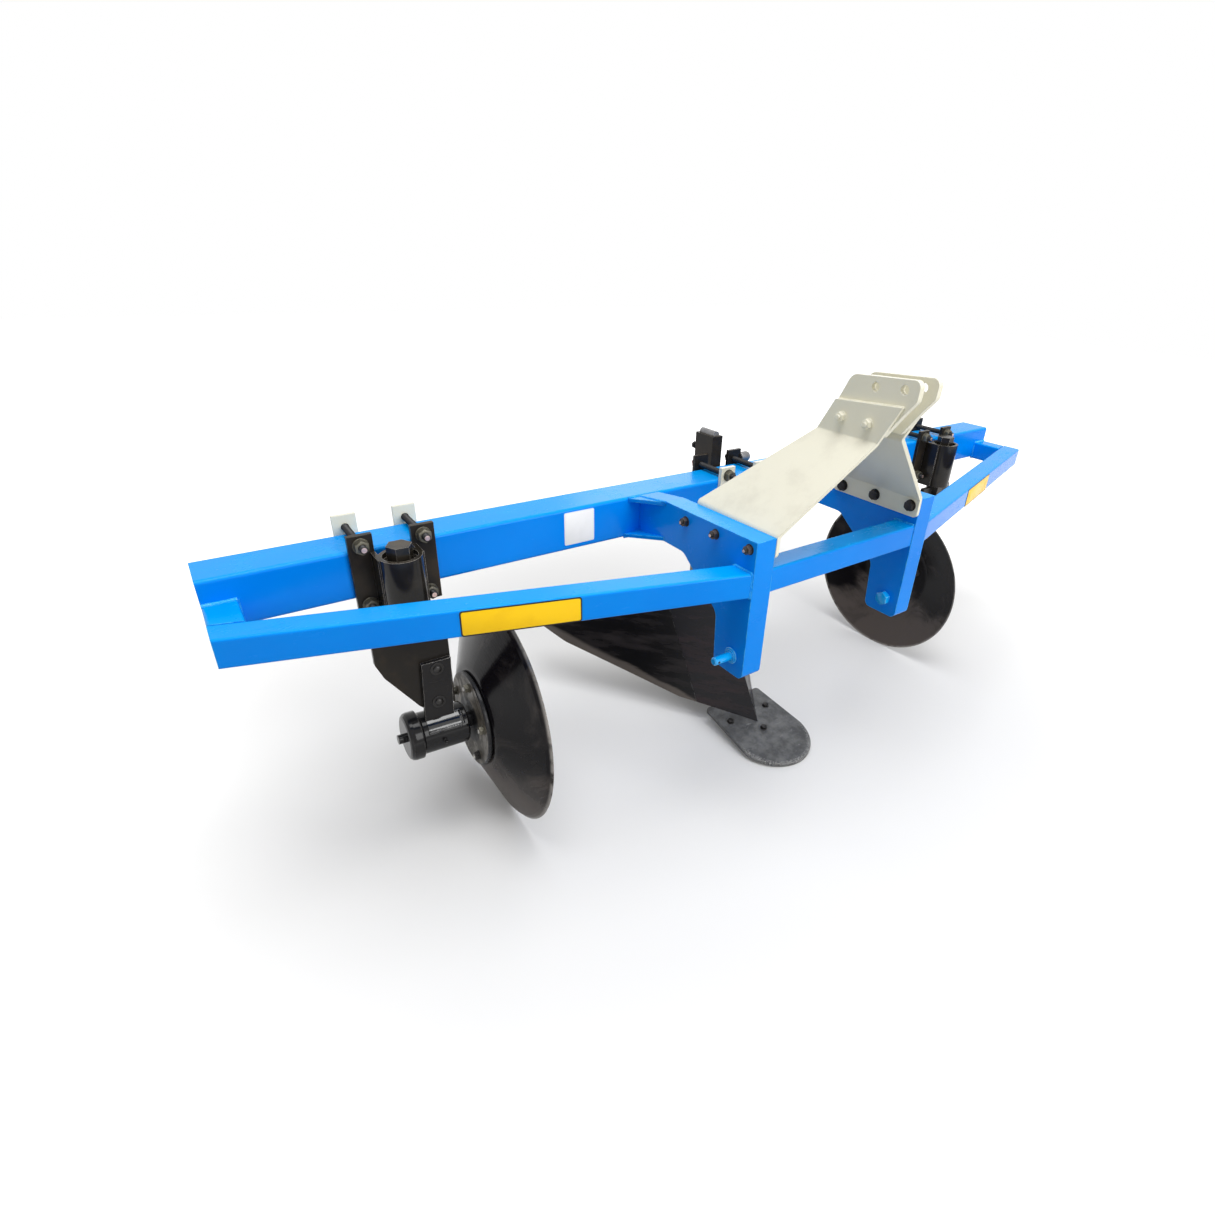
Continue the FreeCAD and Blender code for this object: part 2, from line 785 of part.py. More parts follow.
def sleeve(centre, label):
    """Upright pipe on two webs; a bush at each end steadies the hexagonal shank."""
    body = new_body(label)
    outer = D["sleeve_diameter"] / 2
    bore = outer - D["sleeve_wall"]
    bush = SHANK_CORNER + D["shank_fit"]
    top = -D["sleeve_top"]
    foot = -D["sleeve_bottom"]
    rise = D["bush_height"]
    brim = top - D["bush_sink"]
    profile = new_sketch(body, "XZ_Plane", label + "_profile")
    draw_polygon(profile, [(outer, foot), (outer, top), (bore, top), (bore, brim), (bush, brim),
                           (bush, brim - rise), (bore, brim - rise), (bore, foot + rise),
                           (bush, foot + rise), (bush, foot)])
    revolve(body, profile, "V_Axis", label + "_pipe")
    near = D["rod_pitch"] / 2 - D["clamp_plate_width"] / 2 - D["web_overlap"]
    for name, sign in (("first", -1), ("second", 1)):
        web = new_sketch(body, "XY_Plane", "%s_web_%s" % (label, name), foot)
        draw_polygon(web, rectangle(sign * near, -D["web_nose"], sign * (near + D["web_thickness"]),
                                    D["sleeve_stand"] - D["clamp_plate_thickness"]))
        pad(body, web, top - foot, "%s_web_%s_pad" % (label, name))
    place(body, centre, D["beam_setback"] - D["sleeve_stand"], BEAM_HEIGHT)
    publish(body, label)


def place_arm(thing, side):
    """Arms hang on the shank's axis and are turned about it by the disc's toe."""
    place(thing, side * CLAMP_OFFSET, D["beam_setback"] - D["sleeve_stand"], BEAM_HEIGHT,
          Rotation(Z_AXIS, side * D["disc_toe"].number))


def arm_shank(side, label):
    """Hexagonal bar, slotted at its foot for the arm plate."""
    bar = doc.addObject("Part::Prism", label + "_bar")
    bar.Polygon = 6
    bind(bar, "Circumradius", SHANK_CORNER)
    bind(bar, "Height", D["shank_top"] + D["shank_bottom"])
    place(bar, 0, 0, -D["shank_bottom"])
    slot = doc.addObject("Part::Box", label + "_slot")
    wide = 3 * SHANK_CORNER
    bind(slot, "Length", wide)
    bind(slot, "Width", D["arm_plate_thickness"])
    bind(slot, "Height", D["shank_bottom"] - D["arm_plate_top"])
    place(slot, -wide / 2, -D["arm_plate_thickness"] / 2, -D["shank_bottom"])
    cut = doc.addObject("Part::Cut", label + "_cut")
    cut.Base = bar
    cut.Tool = slot
    place_arm(publish(cut, label), side)


def arm_plate(side, label):
    """Upright plate under the shank, cut away on its outer lower corner."""
    body = new_body(label)
    inboard = -side
    outer = -D["arm_plate_outer"]
    inner = D["arm_plate_inner"]
    top = -D["arm_plate_top"]
    foot = -D["arm_plate_foot"]
    sketch = new_sketch(body, "XZ_Plane", label + "_outline")
    outline = [(outer, top), (outer, -D["arm_plate_shoulder"]),
               (outer + D["arm_plate_cheek"], -D["arm_plate_cheek_level"]),
               (-D["arm_plate_knee"], -D["arm_plate_knee_level"]), (D["arm_plate_toe"], foot), (inner, foot),
               (inner, top)]
    draw_polygon(sketch, [(inboard * x, z) for x, z in outline])
    pad(body, sketch, D["arm_plate_thickness"], label + "_pad", both=True)
    place_arm(publish(body, label), side)


def axis_sketch(body, side, name):
    """A sketch whose horizontal axis is the disc's own axis, leaning down inboard."""
    sketch = new_sketch(body, "XZ_Plane", name, -D["hub_trail"])
    lean = side * D["disc_tilt"]
    spot = Vector(0, -D["hub_drop"].number, -D["hub_trail"].number)
    sketch.AttachmentOffset = Placement(spot, Rotation(Z_AXIS, lean.number))
    bind(sketch, "AttachmentOffset.Base.y", -D["hub_drop"])
    bind(sketch, "AttachmentOffset.Rotation.Angle", lean)
    return sketch


def turned(side, label, profile):
    """A piece turned about the disc's axis; profile holds (distance inboard, radius) pairs."""
    body = new_body(label)
    sketch = axis_sketch(body, side, label + "_profile")
    draw_polygon(sketch, [(-side * size(x), r) for x, r in profile])
    feature = revolve(body, sketch, "H_Axis", label + "_turned")
    return body, feature


def bearing_housing(side, label):
    radius = D["housing_radius"]
    bore = D["axle_radius"] + D["axle_fit"]
    near = HUB_BACK - D["hub_gap"]
    far = near - D["housing_length"]
    chamfer = D["housing_chamfer"]
    body, _ = turned(side, label, [(far, bore), (near, bore), (near, radius - chamfer),
                                   (near - chamfer, radius), (far + chamfer, radius),
                                   (far, radius - chamfer)])
    place_arm(publish(body, label), side)


def housing_cap(side, label):
    radius = D["cap_radius"]
    boss = D["boss_radius"]
    bore = D["axle_radius"] + D["axle_room"]
    start = HUB_BACK - D["hub_gap"] - D["housing_length"]
    end = start - D["cap_length"]
    edge = D["cap_edge"]
    bevel = D["cap_round"]
    tip = end - D["boss_length"]
    floor = end + D["cap_wall"]
    crown = [(end + bevel * (1 - sine(size(turn))), radius - bevel * (1 - cosine(size(turn))))
             for turn in (0, 30, 60, 90)]
    body, _ = turned(side, label, [(start, bore), (start, radius - edge), (start - edge, radius)] + crown
                     + [(end, boss), (tip, boss), (tip, 0), (floor, 0), (floor, bore)])
    place_arm(publish(body, label), side)


def hub_strap(side, label):
    """Flat bolted to the arm plate and saddled on to the bearing housing."""
    inboard = -side
    edge = D["arm_plate_inner"] - D["strap_margin"]
    flat = new_body(label + "_flat")
    sketch = new_sketch(flat, "XZ_Plane", label + "_outline", D["arm_plate_thickness"] / 2)
    top = -D["strap_top"]
    foot = D["strap_foot"] - D["hub_drop"]
    heel = edge - D["strap_lean"]
    wide = D["strap_width"]
    draw_polygon(sketch, [(inboard * (heel - wide), foot), (inboard * heel, foot), (inboard * edge, top),
                          (inboard * (edge - wide), top)])
    pad(flat, sketch, D["strap_thickness"], label + "_pad")
    seat = D["housing_radius"] + D["seat_gap"]
    past = 2 * D["housing_length"]
    saddle, _ = turned(side, label + "_saddle", [(-past, 0), (-past, seat), (past, seat), (past, 0)])
    cut = doc.addObject("Part::Cut", label + "_cut")
    cut.Base = flat
    cut.Tool = saddle
    place_arm(publish(cut, label), side)


def hub_flange(side, label):
    """Round flange behind the disc, with the axle that runs in the housing."""
    radius = D["hub_radius"]
    axle = D["axle_radius"]
    end = HUB_BACK - D["hub_gap"] - D["housing_length"] - D["cap_length"] + D["axle_end"]
    chamfer = D["axle_room"]
    body, feature = turned(side, label, [(end, 0), (end, axle - chamfer), (end + chamfer, axle),
                                         (HUB_BACK, axle), (HUB_BACK, radius), (HUB_FACE, radius),
                                         (HUB_FACE, 0)])
    fillet(body, feature, D["hub_round"], label + "_round", circles_of(radius))
    place_arm(publish(body, label), side)


def disc_blade(side, label):
    """Dished disc with a flat centre, its rim ground to an edge from the convex side."""
    thick = D["disc_thickness"]
    flat = D["disc_flat"]
    rim = D["disc_radius"]
    face = D["disc_inset"] - D["disc_depth"]
    rise = D["disc_depth"] / (rim - flat)
    skew = thick / cosine(slope_angle(D["disc_depth"], rim - flat))
    outer_flat = flat + (skew - thick) / rise
    bevel = D["disc_bevel"]
    body, feature = turned(side, label, [
        (face, 0), (face, flat), (D["disc_inset"], rim), (D["disc_inset"] - D["disc_edge"], rim),
        (D["disc_inset"] - bevel * rise - skew, rim - bevel), (face - thick, outer_flat), (face - thick, 0)])
    outside = fillet(body, feature, D["disc_knee"], label + "_knee", circles_of(outer_flat))
    fillet(body, outside, D["disc_knee"] - thick, label + "_inner_knee", circles_of(flat))
    place_arm(publish(body, label), side)


BOARD_STEPS = 4


def strip_section(body, name, side, level, near, far, overrun):
    """One level slice of a mouldboard's form, between two offsets from its hollow working face."""
    sketch = new_sketch(body, "XY_Plane", name, level)
    wide = BOARD_WIDTH.number
    start = Vector(0, shin_line(level).number, 0)
    end = start + Vector(side * wide, wide * tangent(D["board_sweep"]).number, 0)
    chord = (end - start).Length
    climb = (level.number + BEAM_HEIGHT.number) / BEAM_HEIGHT.number
    bow = D["board_hollow"].number * (1 + climb)
    radius = (chord ** 2 / 4 + bow ** 2) / (2 * bow)
    ahead = Vector(side * (end.y - start.y), -side * (end.x - start.x), 0).normalize()
    centre = (start + end) / 2 + ahead * (radius - bow)
    turn = math.asin(chord / 2 / radius) + overrun / radius
    back = math.atan2(-ahead.y, -ahead.x)

    def at(distance, angle):
        ball = radius + distance
        return centre + Vector(math.cos(back + angle), math.sin(back + angle), 0) * ball

    front = Part.Arc(at(near, -turn), at(near, 0), at(near, turn))
    rear = Part.Arc(at(far, -turn), at(far, 0), at(far, turn))
    pieces = [front, Part.LineSegment(at(near, turn), at(far, turn)), rear,
              Part.LineSegment(at(far, -turn), at(near, -turn))]
    sketch.addGeometry(pieces, False)
    for i in range(len(pieces)):
        sketch.addConstraint(Sketcher.Constraint("Block", i))
    return sketch


def loft(body, sketches, name):
    feature = body.newObject("PartDesign::AdditiveLoft", name)
    feature.Profile = sketches[0]
    feature.Sections = sketches[1:]
    feature.Ruled = False
    body.Tip = feature
    return feature


def shin_line(level):
    """How far back the mouldboards' working face stands on the middle line at a level."""
    return -D["board_nose"] + (level + SHARE_LEVEL) * tangent(D["board_lean"])


def board_crest(x):
    """The height of a mouldboard's upper edge at a distance from the middle."""
    return -D["board_top"] - x * tangent(D["board_fall"])


def board_form(side, label, near, far, overrun):
    """The swept and leaning form shared by one side's shin plate and wing."""
    body = new_body(label)
    tall = BEAM_HEIGHT - D["board_top"] + D["board_over"]
    levels = [i * tall / BOARD_STEPS - BEAM_HEIGHT for i in range(BOARD_STEPS + 1)]
    slices = [strip_section(body, "%s_s%d" % (label, i), side, level, near, far, overrun)
              for i, level in enumerate(levels)]
    loft(body, slices, label + "_loft")
    return body


def board_plate(side, label, form, outline, rounded):
    """Cut one plate out of the form: its outline as seen from the front, clear of the share."""
    window = new_body(label + "_window")
    sketch = new_sketch(window, "XZ_Plane", label + "_outline")
    draw_polygon(sketch, [(side * size(x), z) for x, z in outline])
    feature = pad(window, sketch, 4 * BEAM_HEIGHT, label + "_window_pad", both=True)
    for i, (x, z, radius) in enumerate(rounded):
        feature = fillet(window, feature, radius, "%s_round%d" % (label, i),
                         corners_at(Y_AXIS, (side * x, 0, z)))
    plate = doc.addObject("Part::Common", label + "_plate")
    plate.Base = form
    plate.Tool = window
    cut = doc.addObject("Part::Cut", label + "_cut")
    cut.Base = plate
    cut.Tool = under_share(label)
    place_at_datum(publish(cut, label))


def shin_plate(side, label, form):
    """The plate next to the middle line, which meets its fellow in a sharp upright ridge."""
    near = D["seat_gap"]
    joint = D["shin_width"] - D["shin_gap"]
    board_plate(side, label, form, [(near, -BEAM_HEIGHT), (joint, -BEAM_HEIGHT), (joint, board_crest(joint)),
                                    (near, board_crest(near))], [])


def wing(side, label, form):
    """The long plate outside the joint, whose worn lower edge climbs to a rounded tip."""
    joint = D["shin_width"] + D["shin_gap"]
    reach = D["wing_reach"]
    heel = joint + D["wing_heel"]
    turn = reach - D["wing_turn"]
    cheek = reach - D["wing_cheek"]
    foot = D["wing_lift"] - BEAM_HEIGHT
    rise = foot + (turn - heel) * tangent(D["wing_pitch"])
    swell = rise + D["wing_cheek_rise"]
    upper = board_crest(reach)
    outline = [(joint, foot - D["wing_heel"]), (heel, foot), (turn, rise), (cheek, swell),
               (reach, rise + D["wing_side_rise"]), (reach, upper), (joint, board_crest(joint))]
    board_plate(side, label, form, outline, [(turn, rise, D["wing_turn_round"]),
                                             (cheek, swell, D["wing_cheek_round"]),
                                             (reach, upper, D["wing_top_round"])])


def under_share(label):
    """The space that the share fills, up to the seat of the pieces that stand on it."""
    block = doc.addObject("Part::Box", label + "_under_share")
    wide = 2 * D["share_width"]
    deep = D["share_depth"]
    bind(block, "Length", wide)
    bind(block, "Width", D["share_nose"] - D["share_tail"] + deep)
    bind(block, "Height", deep + D["share_thickness"] + D["seat_gap"])
    lift = -BEAM_HEIGHT - deep * cosine(D["share_slope"])
    place(block, -wide / 2, -D["share_nose"] + deep * sine(D["share_slope"]), lift,
          Rotation(X_AXIS, D["share_slope"].number))
    return block


def body_shank():
    """Flat upright bar with a crowned top that carries the ditching body."""
    body = new_body("body_shank")
    half = D["body_shank_width"] / 2
    deep = D["body_shank_depth"] / 2
    centre = D["body_offset"]
    top = D["body_shank_top"]
    sketch = new_sketch(body, "XY_Plane", "body_shank_section", SHANK_FOOT)
    draw_polygon(sketch, rectangle(centre - half, SHANK_BACK - deep, centre + half, SHANK_BACK + deep))
    bar = pad(body, sketch, top - SHANK_FOOT, "body_shank_bar")
    fillet(body, bar, half - D["body_shank_crown"], "body_shank_crown",
           corners_at(Y_AXIS, (centre - half, 0, top), (centre + half, 0, top)))
    place_at_datum(publish(body, "body_shank"))


def shank_socket():
    """Rectangular socket on the middle clamp's back plate, round the shank."""
    body = new_body("shank_socket")
    centre = D["body_offset"]
    across = D["body_shank_width"] / 2 + D["seat_gap"]
    along = D["body_shank_depth"] / 2 + D["seat_gap"]
    wall = D["socket_wall"]
    back = D["beam_section"] + D["back_plate_thickness"]
    sketch = new_sketch(body, "XY_Plane", "socket_section", PLATE_FOOT)
    draw_polygon(sketch, rectangle(centre - across - wall, back, centre + across + wall,
                                   SHANK_BACK + along + wall), "o")
    draw_polygon(sketch, rectangle(centre - across, SHANK_BACK - along, centre + across, SHANK_BACK + along),
                 "i")
    pad(body, sketch, D["socket_top"] - PLATE_FOOT, "socket_tube")
    place_at_datum(publish(body, "shank_socket"))


def frog(backing):
    """Upright plate on the shank's left face; the shin plates and the share are bolted to it."""
    body = new_body("frog_form")
    face = D["body_offset"] - D["body_shank_width"] / 2 - D["seat_gap"]
    rear = SHANK_BACK + D["body_shank_depth"] / 2
    heel = -D["share_tail"] - D["frog_heel"]
    sketch = new_sketch(body, "YZ_Plane", "frog_outline", face - D["frog_thickness"] / 2)
    draw_polygon(sketch, [(D["frog_toe"] - D["share_nose"], -BEAM_HEIGHT), (heel, -BEAM_HEIGHT),
                          (heel, D["frog_heel_rise"] - BEAM_HEIGHT), (rear, SHANK_FOOT),
                          (rear, -D["frog_top"]), (-D["frog_brow"], -D["frog_top"])])
    pad(body, sketch, D["frog_thickness"], "frog_pad", both=True)
    cut = doc.addObject("Part::Cut", "frog_cut")
    cut.Base = body
    cut.Tool = backing
    seated = doc.addObject("Part::Cut", "frog_seated")
    seated.Base = cut
    seated.Tool = under_share("frog")
    place_at_datum(publish(seated, "frog"))


def wing_stay(side, label, backing):
    """Round strut from the shank or the frog out to the back of a wing."""
    bar = doc.addObject("Part::Cylinder", label + "_bar")
    half = D["body_shank_width"] / 2
    if side > 0:
        start = D["body_offset"] + half + D["seat_gap"]
    else:
        start = D["body_offset"] - half - D["frog_thickness"] - 2 * D["seat_gap"]
    bind(bar, "Radius", D["stay_diameter"] / 2)
    bind(bar, "Height", D["stay_reach"] - side * start)
    place(bar, start, SHANK_BACK, -D["stay_level"], Rotation(Y_AXIS, side * 90))
    cut = doc.addObject("Part::Cut", label + "_cut")
    cut.Base = bar
    cut.Tool = backing
    place_at_datum(publish(cut, label))


def share():
    """Flat round-nosed tongue, sloping down to its nose."""
    body = new_body("share")
    half = D["share_width"].number / 2
    heel = D["share_heel"].number / 2
    length = ((D["share_nose"] - D["share_tail"]) / cosine(D["share_slope"])).number
    shoulder = D["share_shoulder"].number
    corners = [Vector(half, shoulder, 0), Vector(heel, length, 0), Vector(-heel, length, 0),
               Vector(-half, shoulder, 0)]
    sketch = new_sketch(body, "XY_Plane", "share_outline")
    pieces = [Part.LineSegment(corners[i], corners[i + 1]) for i in range(3)]
    pieces.append(Part.Arc(corners[3], Vector(0, 0, 0), corners[0]))
    sketch.addGeometry(pieces, False)
    for i in range(len(pieces)):
        sketch.addConstraint(Sketcher.Constraint("Block", i))
    thick = D["share_thickness"]
    block = pad(body, sketch, thick, "share_pad")
    heels = fillet(body, block, D["share_heel_round"], "share_heels",
                   corners_at(Z_AXIS, (heel, length, 0), (-heel, length, 0)))
    fillet(body, heels, D["share_nose_round"], "share_nose",
           lambda edge: edge.Curve.TypeId == "Part::GeomCircle" and edge.Curve.Radius > half
           and edge.CenterOfMass.z > thick.number / 2)
    place(body, 0, D["beam_setback"] - D["share_nose"], 0, Rotation(X_AXIS, D["share_slope"].number))
    publish(body, "share")


ROD_LEVELS = (D["rod_clear"], -D["beam_section"] - D["rod_clear"])
PLATE_FOOT = -D["beam_section"] - D["clamp_plate_under"]
SHANK_CORNER = D["shank_across"] / 2 / cosine(size(30))
HUB_FACE = D["disc_inset"] - D["disc_depth"] - D["disc_thickness"]
HUB_BACK = HUB_FACE - D["hub_thickness"]
SHANK_BACK = D["beam_section"] + D["back_plate_thickness"] + D["socket_wall"] + D["body_shank_depth"] / 2
SHANK_FOOT = D["body_shank_lift"] - BEAM_HEIGHT
SHARE_LEVEL = BEAM_HEIGHT - D["share_lift"]
BOARD_WIDTH = D["wing_reach"] + D["wing_overrun"]

for side, hand in ((-1, "left"), (1, "right")):
    front_tube_slanting(side, "front_tube_" + hand)
    end_tube(side, "end_tube_" + hand)
    side_member(side, "side_member_" + hand)
    corner_gussets(side, "corner_gussets_" + hand)
    hitch_pin(side, "hitch_pin_" + hand)
    headstock_plate(side, "headstock_plate_" + hand)
    top_link_ear(side, "top_link_ear_" + hand)
    middle = side * CLAMP_OFFSET
    clamp_plates(middle, "clamp_plates_" + hand)
    clamp_rods(middle, "clamp_rods_" + hand)
    back_plate(middle, "back_plate_" + hand)
    sleeve(middle, "sleeve_" + hand)
    arm_shank(side, "arm_shank_" + hand)
    arm_plate(side, "arm_plate_" + hand)
    hub_strap(side, "hub_strap_" + hand)
    bearing_housing(side, "bearing_housing_" + hand)
    housing_cap(side, "housing_cap_" + hand)
    hub_flange(side, "hub_flange_" + hand)
    disc_blade(side, "disc_blade_" + hand)
    form = board_form(side, "board_form_" + hand, 0, D["board_thickness"].number, 0)
    shin_plate(side, "shin_plate_" + hand, form)
    wing(side, "wing_" + hand, form)
    past = D["board_backing"].number
    behind = (D["board_thickness"] + D["seat_gap"]).number
    backing = board_form(side, "board_backing_" + hand, -past, behind, past)
    wing_stay(side, "wing_stay_" + hand, backing)
rear_beam()
front_tube_centre()
clamp_plates(D["body_offset"], "clamp_plates_centre")
clamp_rods(D["body_offset"], "clamp_rods_centre")
back_plate(D["body_offset"], "back_plate_centre")
shank_socket()
body_shank()
frog(backing)
share()

doc.recompute()
for thing in doc.Objects:
    if "Invalid" in thing.State or "Error" in thing.State:
        raise RuntimeError("%s (%s) is %s" % (thing.Name, thing.Label, thing.State))
os.makedirs("parts", exist_ok=True)
for node in nodes:
    if node.Shape.isNull() or not node.Shape.isValid():
        raise RuntimeError(node.Label + " has no valid shape")
    node.Shape.exportStep("parts/%s.step" % node.Label)
    box = node.Shape.BoundBox
    print("%-26s %d solid(s)  x %.1f..%.1f  y %.1f..%.1f  z %.1f..%.1f  %.0f cm3" % (
        node.Label, len(node.Shape.Solids), box.XMin, box.XMax, box.YMin, box.YMax, box.ZMin, box.ZMax,
        node.Shape.Volume / 1000))
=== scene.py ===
# %% [markdown]
# # Dressing a disc ditcher
# A tractor draws a disc ditcher to cut a field drain.  A share and two mouldboards open the
# trench, and two dished discs trim its banks.  The packed model holds every plate, tube and bar
# at its true size.  This lesson loads it as a fixed frame, gives each surface its paint or bare
# metal, and adds what a drawing leaves out: bolts, nuts, threads, weld beads and blank plates.

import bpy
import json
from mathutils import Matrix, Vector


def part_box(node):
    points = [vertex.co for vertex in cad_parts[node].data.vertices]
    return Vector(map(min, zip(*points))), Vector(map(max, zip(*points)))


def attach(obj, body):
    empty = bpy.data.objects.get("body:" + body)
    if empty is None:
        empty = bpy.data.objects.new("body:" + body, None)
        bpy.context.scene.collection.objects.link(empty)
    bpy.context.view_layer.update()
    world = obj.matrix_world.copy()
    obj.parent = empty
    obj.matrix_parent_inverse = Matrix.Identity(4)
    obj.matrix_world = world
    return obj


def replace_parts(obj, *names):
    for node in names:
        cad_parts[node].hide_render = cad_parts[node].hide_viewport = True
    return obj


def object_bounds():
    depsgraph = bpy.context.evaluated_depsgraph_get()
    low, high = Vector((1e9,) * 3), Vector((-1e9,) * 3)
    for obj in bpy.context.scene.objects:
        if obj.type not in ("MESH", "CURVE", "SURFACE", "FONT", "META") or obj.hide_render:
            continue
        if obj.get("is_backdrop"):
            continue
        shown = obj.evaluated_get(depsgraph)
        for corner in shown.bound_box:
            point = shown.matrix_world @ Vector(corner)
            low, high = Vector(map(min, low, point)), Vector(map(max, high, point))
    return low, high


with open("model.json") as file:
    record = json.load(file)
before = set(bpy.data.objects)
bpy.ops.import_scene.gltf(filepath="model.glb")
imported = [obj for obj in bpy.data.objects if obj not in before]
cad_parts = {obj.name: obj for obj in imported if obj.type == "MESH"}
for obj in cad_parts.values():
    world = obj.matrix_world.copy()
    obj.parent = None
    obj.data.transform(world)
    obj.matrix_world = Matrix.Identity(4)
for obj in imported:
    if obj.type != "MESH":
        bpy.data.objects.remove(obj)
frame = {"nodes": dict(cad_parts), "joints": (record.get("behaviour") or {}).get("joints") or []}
cad_low, cad_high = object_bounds()
print("machine box, metres:", [round(high - low, 3) for low, high in zip(cad_low, cad_high)])

# %% Tools for the whole lesson
import json
import math

import bmesh
import bpy
from mathutils import Matrix, Vector

X, Y, Z = Vector((1, 0, 0)), Vector((0, 1, 0)), Vector((0, 0, 1))
MM = 0.001
HANDS = {"left": -1, "right": 1}
print("Blender", bpy.app.version_string, "hands:", HANDS)

# %% [markdown]
# Everything is measured from the rear beam, so there is one datum: the middle of the beam's
# front face, level with its top.  The beam's box gives that point, and `spot` turns millimetres
# from it into a place.  Small parts stand on faces, so `facing` makes a frame whose z axis looks
# the way that a face does.

# %% The datum on the rear beam
def corners_of(node):
    """The lowest and the highest corner of a node's box."""
    return [Vector(corner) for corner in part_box(node)]


def face_x(node, side):
    """Where a node's box ends on its left (side -1) or its right (side 1)."""
    low, high = corners_of(node)
    return high.x if side > 0 else low.x


def middle_of(node):
    """The middle of a node's box."""
    low, high = corners_of(node)
    return (low + high) / 2


beam_low, beam_high = corners_of("rear_beam")
datum = Vector((0, beam_low.y, beam_high.z))


def spot(x, y, z):
    """The place that many millimetres right of, behind and above the datum."""
    return datum + Vector((x, y, z)) * MM


def facing(place, direction):
    """A frame at a place, with its z axis along a direction."""
    turn = Vector(direction).to_track_quat("Z", "Y").to_matrix().to_4x4()
    return Matrix.Translation(place) @ turn


def added(name, data, at=Matrix()):
    """A new object in the scene, standing in a frame."""
    thing = bpy.data.objects.new(name, data)
    thing.matrix_world = at
    bpy.context.scene.collection.objects.link(thing)
    return thing


print("datum:", [round(value, 4) for value in datum])

# %% [markdown]
# The camera stands close in front of the left end and looks down on the machine, so the near
# disc looks large and the beam runs away steeply.  A short lens gives that strong perspective.
# Its direction is three turns: a small roll, a turn down from the horizon, and one round the
# machine.  A tracking constraint could aim it, but has no roll.

# %% The camera
CAMERA_AT = spot(-1391.8, -1482.4, 618.0)
CAMERA_ROUND = math.radians(-36.59)
CAMERA_DOWN = math.radians(28.15)
CAMERA_ROLL = math.radians(2.39)

lens = bpy.data.cameras.new("view_camera")
lens.lens = 20.08
lens.sensor_width = 36.0
lens.shift_x = -0.035
turn = (Matrix.Rotation(CAMERA_ROUND, 4, "Z") @ Matrix.Rotation(math.pi / 2 - CAMERA_DOWN, 4, "X")
        @ Matrix.Rotation(CAMERA_ROLL, 4, "Z"))
camera = added("view_camera", lens, Matrix.Translation(CAMERA_AT) @ turn)
bpy.context.scene.camera = camera
print("camera at", [round(value, 3) for value in CAMERA_AT])

# %% [markdown]
# Large soft sources give glossy paint broad highlights and no hard spots.  A sun lamp would be
# simpler, but its shadows are hard.  One wide lamp overhead makes the top faces the lightest, a
# weaker one in front lights the upright faces, a third lifts the back, and a pale world, made at
# the end, lights the rest.

# %% Lamps
AIM = spot(0, -150, -350)


def soft_lamp(name, place, size, power):
    """A square area lamp that looks at the machine's middle."""
    light = bpy.data.lights.new(name, "AREA")
    light.shape = "SQUARE"
    light.size = size
    light.energy = power
    added(name, light, facing(place, place - AIM))


soft_lamp("lamp_over", spot(-700, -600, 4600), 3.2, 176)
soft_lamp("lamp_front", spot(900, -4600, 1700), 2.6, 125)
soft_lamp("lamp_back", spot(2600, 3000, 1900), 2.6, 28)
print("lamps:", [(light.name, light.energy) for light in bpy.data.lights])

# %% [markdown]
# Node sums read badly as boxes and wires.  The class `Field` wraps one output of a node, and the
# signs + - * / then add the Math nodes, so `1 - mask * 0.3` is written as it is thought.
# `Recipe` holds one material and makes any other node with one method.

# %% Fields: values that nodes work out
def sign(operation):
    """The two methods behind a sign: the sign itself and its reflected form."""
    def plain(field, other):
        return field.recipe.maths(operation, field, other)

    def reflected(field, other):
        return field.recipe.maths(operation, other, field)

    return plain, reflected


class Field:
    """One output of a material's nodes, used in sums like a number."""

    def __init__(self, recipe, socket):
        self.recipe, self.socket = recipe, socket

    __add__, __radd__ = sign("ADD")
    __sub__, __rsub__ = sign("SUBTRACT")
    __mul__, __rmul__ = sign("MULTIPLY")
    __truediv__, __rtruediv__ = sign("DIVIDE")


print("a field has", sum(callable(part) for part in vars(Field).values()), "methods")


